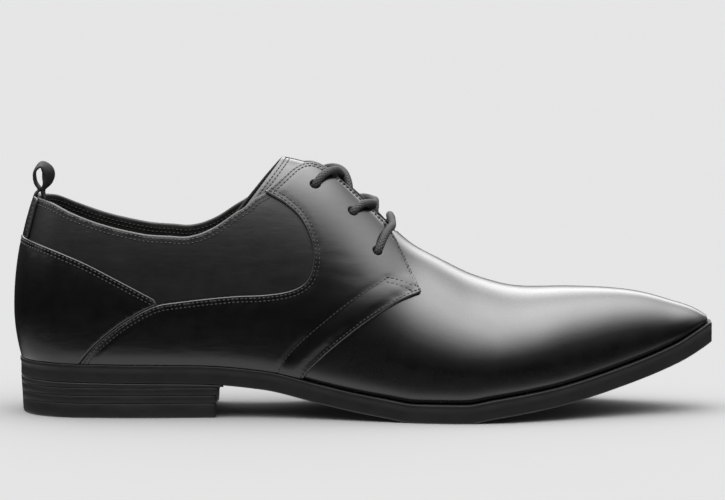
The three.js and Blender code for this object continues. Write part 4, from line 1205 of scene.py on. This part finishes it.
def over_facing(row, side, forward):
    """Points of a strand from below its hole to the facing's edge."""
    x0 = EYELETS["x"][row] * SHOE_LENGTH
    z0 = sole_top(x0) + GAP + EYELETS["up"][row] * ridge_rise(x0)
    s0, q0 = on_last(np.array([x0]), np.array([z0]), side)
    deep_end, _ = form_point(s0[0] - 2, q0[0] * 1.03, np.array(LACE_BELOW))
    inside_hole, _ = form_point(s0[0], q0[0], np.array(LACE_INSIDE))
    at_mouth, _ = form_point(s0[0] + 0.3, q0[0] * 0.995, np.array(LACE_OVER))
    path = [deep_end, inside_hole, at_mouth]
    for share in (0.3, 0.65, 1.0):
        x = x0 + share * forward
        edge_q = float(at_width(x, float(facing_half(np.array(x))), side))
        q = q0[0] + (edge_q - q0[0]) * share
        lift = GAP + OVERLAY_WALL + LACE_DIAMETER / 2 + 0.15 + share * LACE_ARCH
        path.append(form_point(x - HEEL_CENTRE, q, np.array(lift))[0])
    return path


def crossing(upper_row, lower_row, side):
    """Points of a strand over its facing, across the gap and under the other facing."""
    path = over_facing(upper_row, side, LACE_FORWARD)
    lower_x = EYELETS["x"][lower_row] * SHOE_LENGTH
    middle_x = path[-1][0] * 0.45 + lower_x * 0.55 - 2
    lift = LACE_REST + LACE_ARCH + 0.9 * side
    path.append(form_point(middle_x - HEEL_CENTRE, 0.0, np.array(lift))[0])
    far = -side * (FACING_GAP / 2 - LACE_REST - 0.6)
    far_x = lower_x - 1
    far_q = float(at_width(far_x, abs(far), -side))
    end, _ = form_point(far_x - HEEL_CENTRE, far_q, np.array(LACE_REST - UPPER_WALL + 0.5))
    end[1] = section_point(far_x, 0.0)[1] + far
    path.append(end)
    under_q = at_width(far_x + 2, FACING_GAP / 2 + 3.5, -side)
    under, _ = form_point(far_x - HEEL_CENTRE + 2, under_q, np.array(-4.0))
    path.append(under)
    return path


lace_rows = {"lace_crossing_top": (0, 1), "lace_crossing_low": (1, 2)}
for node_name, (upper_row, lower_row) in lace_rows.items():
    strands = []
    for side in (-1, 1):
        path = eased(spline(crossing(upper_row, lower_row, side), 90))
        strands.append(tube(node_name + "_strand", path, LACE_DIAMETER / 2, braid))
    with bpy.context.temp_override(active_object=strands[0], selected_editable_objects=strands):
        bpy.ops.object.join()
    strands[0].name = node_name + "_cord"
    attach(strands[0], "root")
    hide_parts(node_name)

ends = [over_facing(2, side, LACE_FORWARD * 2 / 3) for side in (-1, 1)]
bar_x = ends[0][-1][0] - 4
bar_middle, _ = form_point(bar_x - HEEL_CENTRE, 0.0, np.array(LACE_REST + OVERLAY_WALL))
bar_path = eased(spline(ends[0] + [bar_middle] + ends[1][::-1], 120))
bar = tube("lace_bar_cord", bar_path, LACE_DIAMETER / 2, braid)
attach(bar, "root")
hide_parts("lace_bar")
print("laces through", 2 * len(EYELETS["x"]), "holes")

# %% [markdown]
# Stitches repeat along a path, so a Geometry Nodes tree makes them: it turns curves into evenly spaced
# points, sets one short thread on each, and realises the result, because an export drops
# instances.

# %% The stitch tree
def stitch_tree(thread):
    tree = bpy.data.node_groups.new("stitch_rows", "GeometryNodeTree")
    tree.interface.new_socket("Geometry", in_out="INPUT", socket_type="NodeSocketGeometry")
    for label in ("Spacing", "Length", "Thread Radius"):
        tree.interface.new_socket(label, in_out="INPUT", socket_type="NodeSocketFloat")
    tree.interface.new_socket("Geometry", in_out="OUTPUT", socket_type="NodeSocketGeometry")
    nodes, links = tree.nodes, tree.links
    given, result = nodes.new("NodeGroupInput"), nodes.new("NodeGroupOutput")
    spread = nodes.new("GeometryNodeCurveToPoints")
    spread.mode = "LENGTH"
    links.new(given.outputs["Geometry"], spread.inputs["Curve"])
    links.new(given.outputs["Spacing"], spread.inputs["Length"])
    turn = nodes.new("FunctionNodeAlignRotationToVector")
    turn.axis = "X"
    links.new(spread.outputs["Tangent"], turn.inputs["Vector"])
    thread_form = nodes.new("GeometryNodeMeshUVSphere")
    thread_form.inputs["Segments"].default_value = 6
    thread_form.inputs["Rings"].default_value = 5
    thread_form.inputs["Radius"].default_value = 1.0
    size = nodes.new("ShaderNodeCombineXYZ")
    half = nodes.new("ShaderNodeMath")
    half.operation = "MULTIPLY"
    half.inputs[1].default_value = 0.5
    links.new(given.outputs["Length"], half.inputs[0])
    links.new(half.outputs["Value"], size.inputs["X"])
    links.new(given.outputs["Thread Radius"], size.inputs["Y"])
    links.new(given.outputs["Thread Radius"], size.inputs["Z"])
    place = nodes.new("GeometryNodeInstanceOnPoints")
    links.new(spread.outputs["Points"], place.inputs["Points"])
    links.new(thread_form.outputs["Mesh"], place.inputs["Instance"])
    links.new(turn.outputs["Rotation"], place.inputs["Rotation"])
    links.new(size.outputs["Vector"], place.inputs["Scale"])
    real = nodes.new("GeometryNodeRealizeInstances")
    smooth = nodes.new("GeometryNodeSetShadeSmooth")
    dress = nodes.new("GeometryNodeSetMaterial")
    dress.inputs["Material"].default_value = thread
    links.new(place.outputs["Instances"], real.inputs["Geometry"])
    links.new(real.outputs["Geometry"], smooth.inputs["Geometry"])
    links.new(smooth.outputs["Geometry"], dress.inputs["Geometry"])
    links.new(dress.outputs["Geometry"], result.inputs["Geometry"])
    return tree


thread = finish("waxed_thread", (0.009, 0.009, 0.0094), 0.4)
rows_tree = stitch_tree(thread)
print("stitch tree:", len(rows_tree.nodes), "nodes")


# %% [markdown]
# Each stitch row keeps an even distance to its edge. The rows are drawn in the side view or from
# above, laid on the last at the height of the piece they are sewn in, and cut off where that piece
# ends.

# %% Stitch rows
def even(points, step=0.8):
    p = np.asarray(points, float)
    run = np.concatenate([[0], np.cumsum(np.linalg.norm(np.diff(p, axis=0), axis=1))])
    at = np.linspace(0, run[-1], max(int(run[-1] / step), 2))
    return np.stack([np.interp(at, run, p[:, k]) for k in range(p.shape[1])], -1)


def laid(line, side, height, distance, margin=1.0):
    """A row of the side view on the last, in the parts that lie on its piece."""
    line = even(line)
    s, q = on_last(line[:, 0], line[:, 1], side)
    keep = distance(last_point(s, q)) > margin
    points, _ = form_point(s, q, np.full(len(s), height))
    return split_rows(points, keep)


def split_rows(points, keep):
    rows, current = [], []
    for p, k in zip(points, keep):
        if k:
            current.append(p)
        elif len(current) > 3:
            rows.append(np.array(current))
            current = []
        else:
            current = []
    if len(current) > 3:
        rows.append(np.array(current))
    return rows


# Each stretch of the row along the shoe, with its number of points. The corner's has the most.
ROW_STRETCHES = ((98, 114, 30), (114, 130, 120), (130, 181, 90))
ROW_END = ROW_STRETCHES[-1][1]


def top_row(row, side):
    """The row at a distance below the quarter's top edge, round its corner and down the facing."""
    x = np.concatenate([np.linspace(*stretch)[:-1] for stretch in ROW_STRETCHES] + [[ROW_END]])
    near, far = np.zeros_like(x), np.full_like(x, 0.9)
    for _ in range(24):
        middle = (near + far) / 2
        p = last_point(x - HEEL_CENTRE, side * middle)
        deeper = round_corner(inside(below_collar, side_view(p)), to_facing(p), FACING_CORNER) > row
        near, far = np.where(deeper, near, middle), np.where(deeper, middle, far)
    return x, side * near


rows = []
for side in (-1, 1):
    on_quarter, on_upper = quarter_distance(side), upper_distance
    for row in EDGE_ROWS:
        rows += laid(shifted(panel_seam, row), side, overlay_top - 0.1, on_quarter)
        rows += laid(shifted(counter_seam, -row), side, overlay_top - 0.1, counter_distance)
        x, q = top_row(row, side)
        path, _ = form_point(x - HEEL_CENTRE, q, np.full(len(x), overlay_top - 0.1))
        rows += split_rows(path, on_quarter(last_point(x - HEEL_CENTRE, q)) > row - 0.3)
    rows += laid(shifted(vamp_seam, EDGE_ROWS[0]), side, overlay_top - 0.1, on_quarter)
    below_tack = rib_line[rib_line[:, 1] < TACK_LINE[0][1]]
    rows += laid(below_tack, side, overlay_top - 0.2, on_quarter, 0.2)
    for drop in TACK_ROWS:
        rows += laid(np.array(TACK_LINE) - [0, drop], side, overlay_top - 0.1, on_quarter, 0.6)
    for row in COLLAR_ROWS:
        collar_row = shifted(collar_line, -row)
        rows += laid(collar_row, side, 0.0, lambda p: np.where(on_quarter(p) > -1.2, -1, on_upper(p)))
        rows += laid(shifted(collar_line, -row - 0.8), side, -UPPER_WALL, on_upper)
    strip_z = np.linspace(counter_seam[0][1], collar_z - 1.5, 40)
    strip_half = strip_half_width(strip_z) - STRIP_ROW
    _, strip_q = on_last(np.full(40, HEEL_CENTRE + 0.01), strip_z, side)
    turn = np.abs(strip_half / section_point(HEEL_CENTRE, strip_q)[:, 1])
    strip_s = -np.degrees(np.arccos(np.clip(turn, 0, 1)))
    for _ in range(12):
        turned = np.abs(last_point(strip_s, strip_q)[:, 1])
        strip_s = np.clip(strip_s - (turned - strip_half) * 1.2, -90, -30)
    strip_path, _ = form_point(strip_s, strip_q, np.full(40, STRIP_WALL - 0.1))
    rows += split_rows(strip_path, strip_distance(last_point(strip_s, strip_q)) > 0.8)
    for row in TONGUE_ROWS:
        rows += laid(shifted(tip_line, row), side, -deep - 0.1, tongue_distance, 0.6)
rows_curve = bpy.data.curves.new("stitch_paths", "CURVE")
rows_curve.dimensions = "3D"
for row in rows:
    path = rows_curve.splines.new("POLY")
    path.points.add(len(row) - 1)
    metres = (row - [ORIGIN_X, 0, 0]) * MM
    path.points.foreach_set("co", np.column_stack([metres, np.ones(len(row))]).ravel())
paths = bpy.data.objects.new("stitch_paths", rows_curve)
bpy.context.scene.collection.objects.link(paths)


def grow(source, tree, name, **sizes):
    """Runs a tree on an object and keeps the result as a plain mesh."""
    modifier = source.modifiers.new("grow", "NODES")
    modifier.node_group = tree
    for item in tree.interface.items_tree:
        label = item.name.replace(" ", "_").lower()
        if item.in_out == "INPUT" and label in sizes:
            modifier[item.identifier] = sizes[label]
    bpy.context.view_layer.update()
    evaluated = source.evaluated_get(bpy.context.evaluated_depsgraph_get())
    mesh = bpy.data.meshes.new_from_object(evaluated)
    made = bpy.data.objects.new(name, mesh)
    bpy.context.scene.collection.objects.link(made)
    bpy.data.objects.remove(source)
    return made


SPACING, STITCH_LENGTH, THREAD_RADIUS = 0.0019, 0.0016, 0.00028
sizes = {"spacing": SPACING, "length": STITCH_LENGTH, "thread_radius": THREAD_RADIUS}
stitches = grow(paths, rows_tree, "stitches", **sizes)
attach(stitches, "root")
print("stitches:", len(rows), "rows,", len(stitches.data.polygons), "faces")

# %% [markdown]
# The picture was taken from the outer side with a long lens, a little above the shoe. The light is a
# bright ceiling and a paler wall behind and at both ends, all in the world's background. Black leather
# shows them as broad, soft gradients, where a lamp would leave a hard patch.

# %% Camera, floor and surround
CAMERA_DISTANCE = 2.4
CAMERA_RISE = math.radians(6)
AIM_X, AIM_HEIGHT = 152.3, 0.070
SENSOR_WIDTH, PHOTO_WIDTH, FOCAL_PIXELS = 36, 725, 5491
target = Vector(((AIM_X - ORIGIN_X) * MM, 0, AIM_HEIGHT))
camera_data = bpy.data.cameras.new("camera")
camera_data.sensor_width = SENSOR_WIDTH
camera_data.lens = FOCAL_PIXELS * SENSOR_WIDTH / PHOTO_WIDTH
camera = bpy.data.objects.new("camera", camera_data)
camera.location = target + CAMERA_DISTANCE * Vector((0, -math.cos(CAMERA_RISE), math.sin(CAMERA_RISE)))
camera.rotation_euler = (math.pi / 2 - CAMERA_RISE, 0, 0)
bpy.context.scene.collection.objects.link(camera)
bpy.context.scene.camera = camera

floor_mesh = bpy.data.meshes.new("floor")
FLOOR_REACH, FLOOR_GREY = 6, 0.274
floor_corners = [(x * FLOOR_REACH, y * FLOOR_REACH, 0) for x, y in ((-1, -1), (1, -1), (1, 1), (-1, 1))]
floor_mesh.from_pydata(floor_corners, [], [(0, 1, 2, 3)])
floor = bpy.data.objects.new("floor", floor_mesh)
bpy.context.scene.collection.objects.link(floor)
floor.data.materials.append(finish("pale_floor", (FLOOR_GREY,) * 3, 0.9, specular=0.0))
floor.visible_glossy = False


world = bpy.data.worlds.new("surround")
world.use_nodes = True
air = world.node_tree
direction = air.nodes.new("ShaderNodeTexCoord")
height = air.nodes.new("ShaderNodeSeparateXYZ")
spread = air.nodes.new("ShaderNodeMapRange")
spread.inputs["From Min"].default_value = -1.0
ramp = air.nodes.new("ShaderNodeValToRGB")
SURROUND_STRENGTH = 7.5
SURROUND = [
    # height of the direction, brightness
    (-1.0, 0.12),
    (-0.5, 0.12),
    (-0.4, 0.11),
    (-0.3, 0.06),
    (-0.2, 0.003),
    (-0.08, 0.002),
    (0.06, 0.008),
    (0.2, 0.015),
    (0.35, 0.025),
    (0.56, 0.13),
    (0.7, 0.3),
    (0.82, 0.5),
    (0.96, 0.85),
]
stops = ramp.color_ramp.elements
while len(stops) < len(SURROUND):
    stops.new(0.5)
for stop, (z, grey) in zip(stops, SURROUND):
    stop.position, stop.color = (z + 1) / 2, (grey, grey, grey, 1)
BACKDROP = {
    # where it starts, where it is full, how bright it is
    "behind": (0.66, 0.97, 1.0),
    "ends": (0.75, 1.0, 0.25),
    "raised": (0.03, 0.4, 0.36),
}
limits = {}
for name, (low, high, most) in BACKDROP.items():
    limits[name] = air.nodes.new("ShaderNodeMapRange")
    limits[name].interpolation_type = "SMOOTHSTEP"
    limits[name].inputs["From Min"].default_value = low
    limits[name].inputs["From Max"].default_value = high
    limits[name].inputs["To Max"].default_value = most
lengthwise, around_shoe, backdrop = (air.nodes.new("ShaderNodeMath") for _ in range(3))
lengthwise.operation = "ABSOLUTE"
around_shoe.operation = "MAXIMUM"
backdrop.operation = "MULTIPLY"
total = air.nodes.new("ShaderNodeMix")
total.data_type = "RGBA"
total.blend_type = "ADD"
total.inputs["Factor"].default_value = 1.0
background = air.nodes["Background"]
background.inputs["Strength"].default_value = SURROUND_STRENGTH
air.links.new(direction.outputs["Generated"], height.inputs["Vector"])
air.links.new(height.outputs["Z"], spread.inputs["Value"])
air.links.new(height.outputs["X"], lengthwise.inputs[0])
air.links.new(height.outputs["Y"], limits["behind"].inputs["Value"])
air.links.new(height.outputs["Z"], limits["raised"].inputs["Value"])
air.links.new(lengthwise.outputs["Value"], limits["ends"].inputs["Value"])
air.links.new(spread.outputs["Result"], ramp.inputs["Fac"])
air.links.new(limits["behind"].outputs["Result"], around_shoe.inputs[0])
air.links.new(limits["ends"].outputs["Result"], around_shoe.inputs[1])
air.links.new(around_shoe.outputs["Value"], backdrop.inputs[0])
air.links.new(limits["raised"].outputs["Result"], backdrop.inputs[1])
air.links.new(ramp.outputs["Color"], total.inputs["A"])
air.links.new(backdrop.outputs["Value"], total.inputs["B"])
air.links.new(total.outputs["Result"], background.inputs["Color"])
bpy.context.scene.world = world
bpy.context.scene.view_settings.view_transform = "Standard"
print("camera", round(camera_data.lens, 1), "mm lens at", tuple(round(c, 3) for c in camera.location))
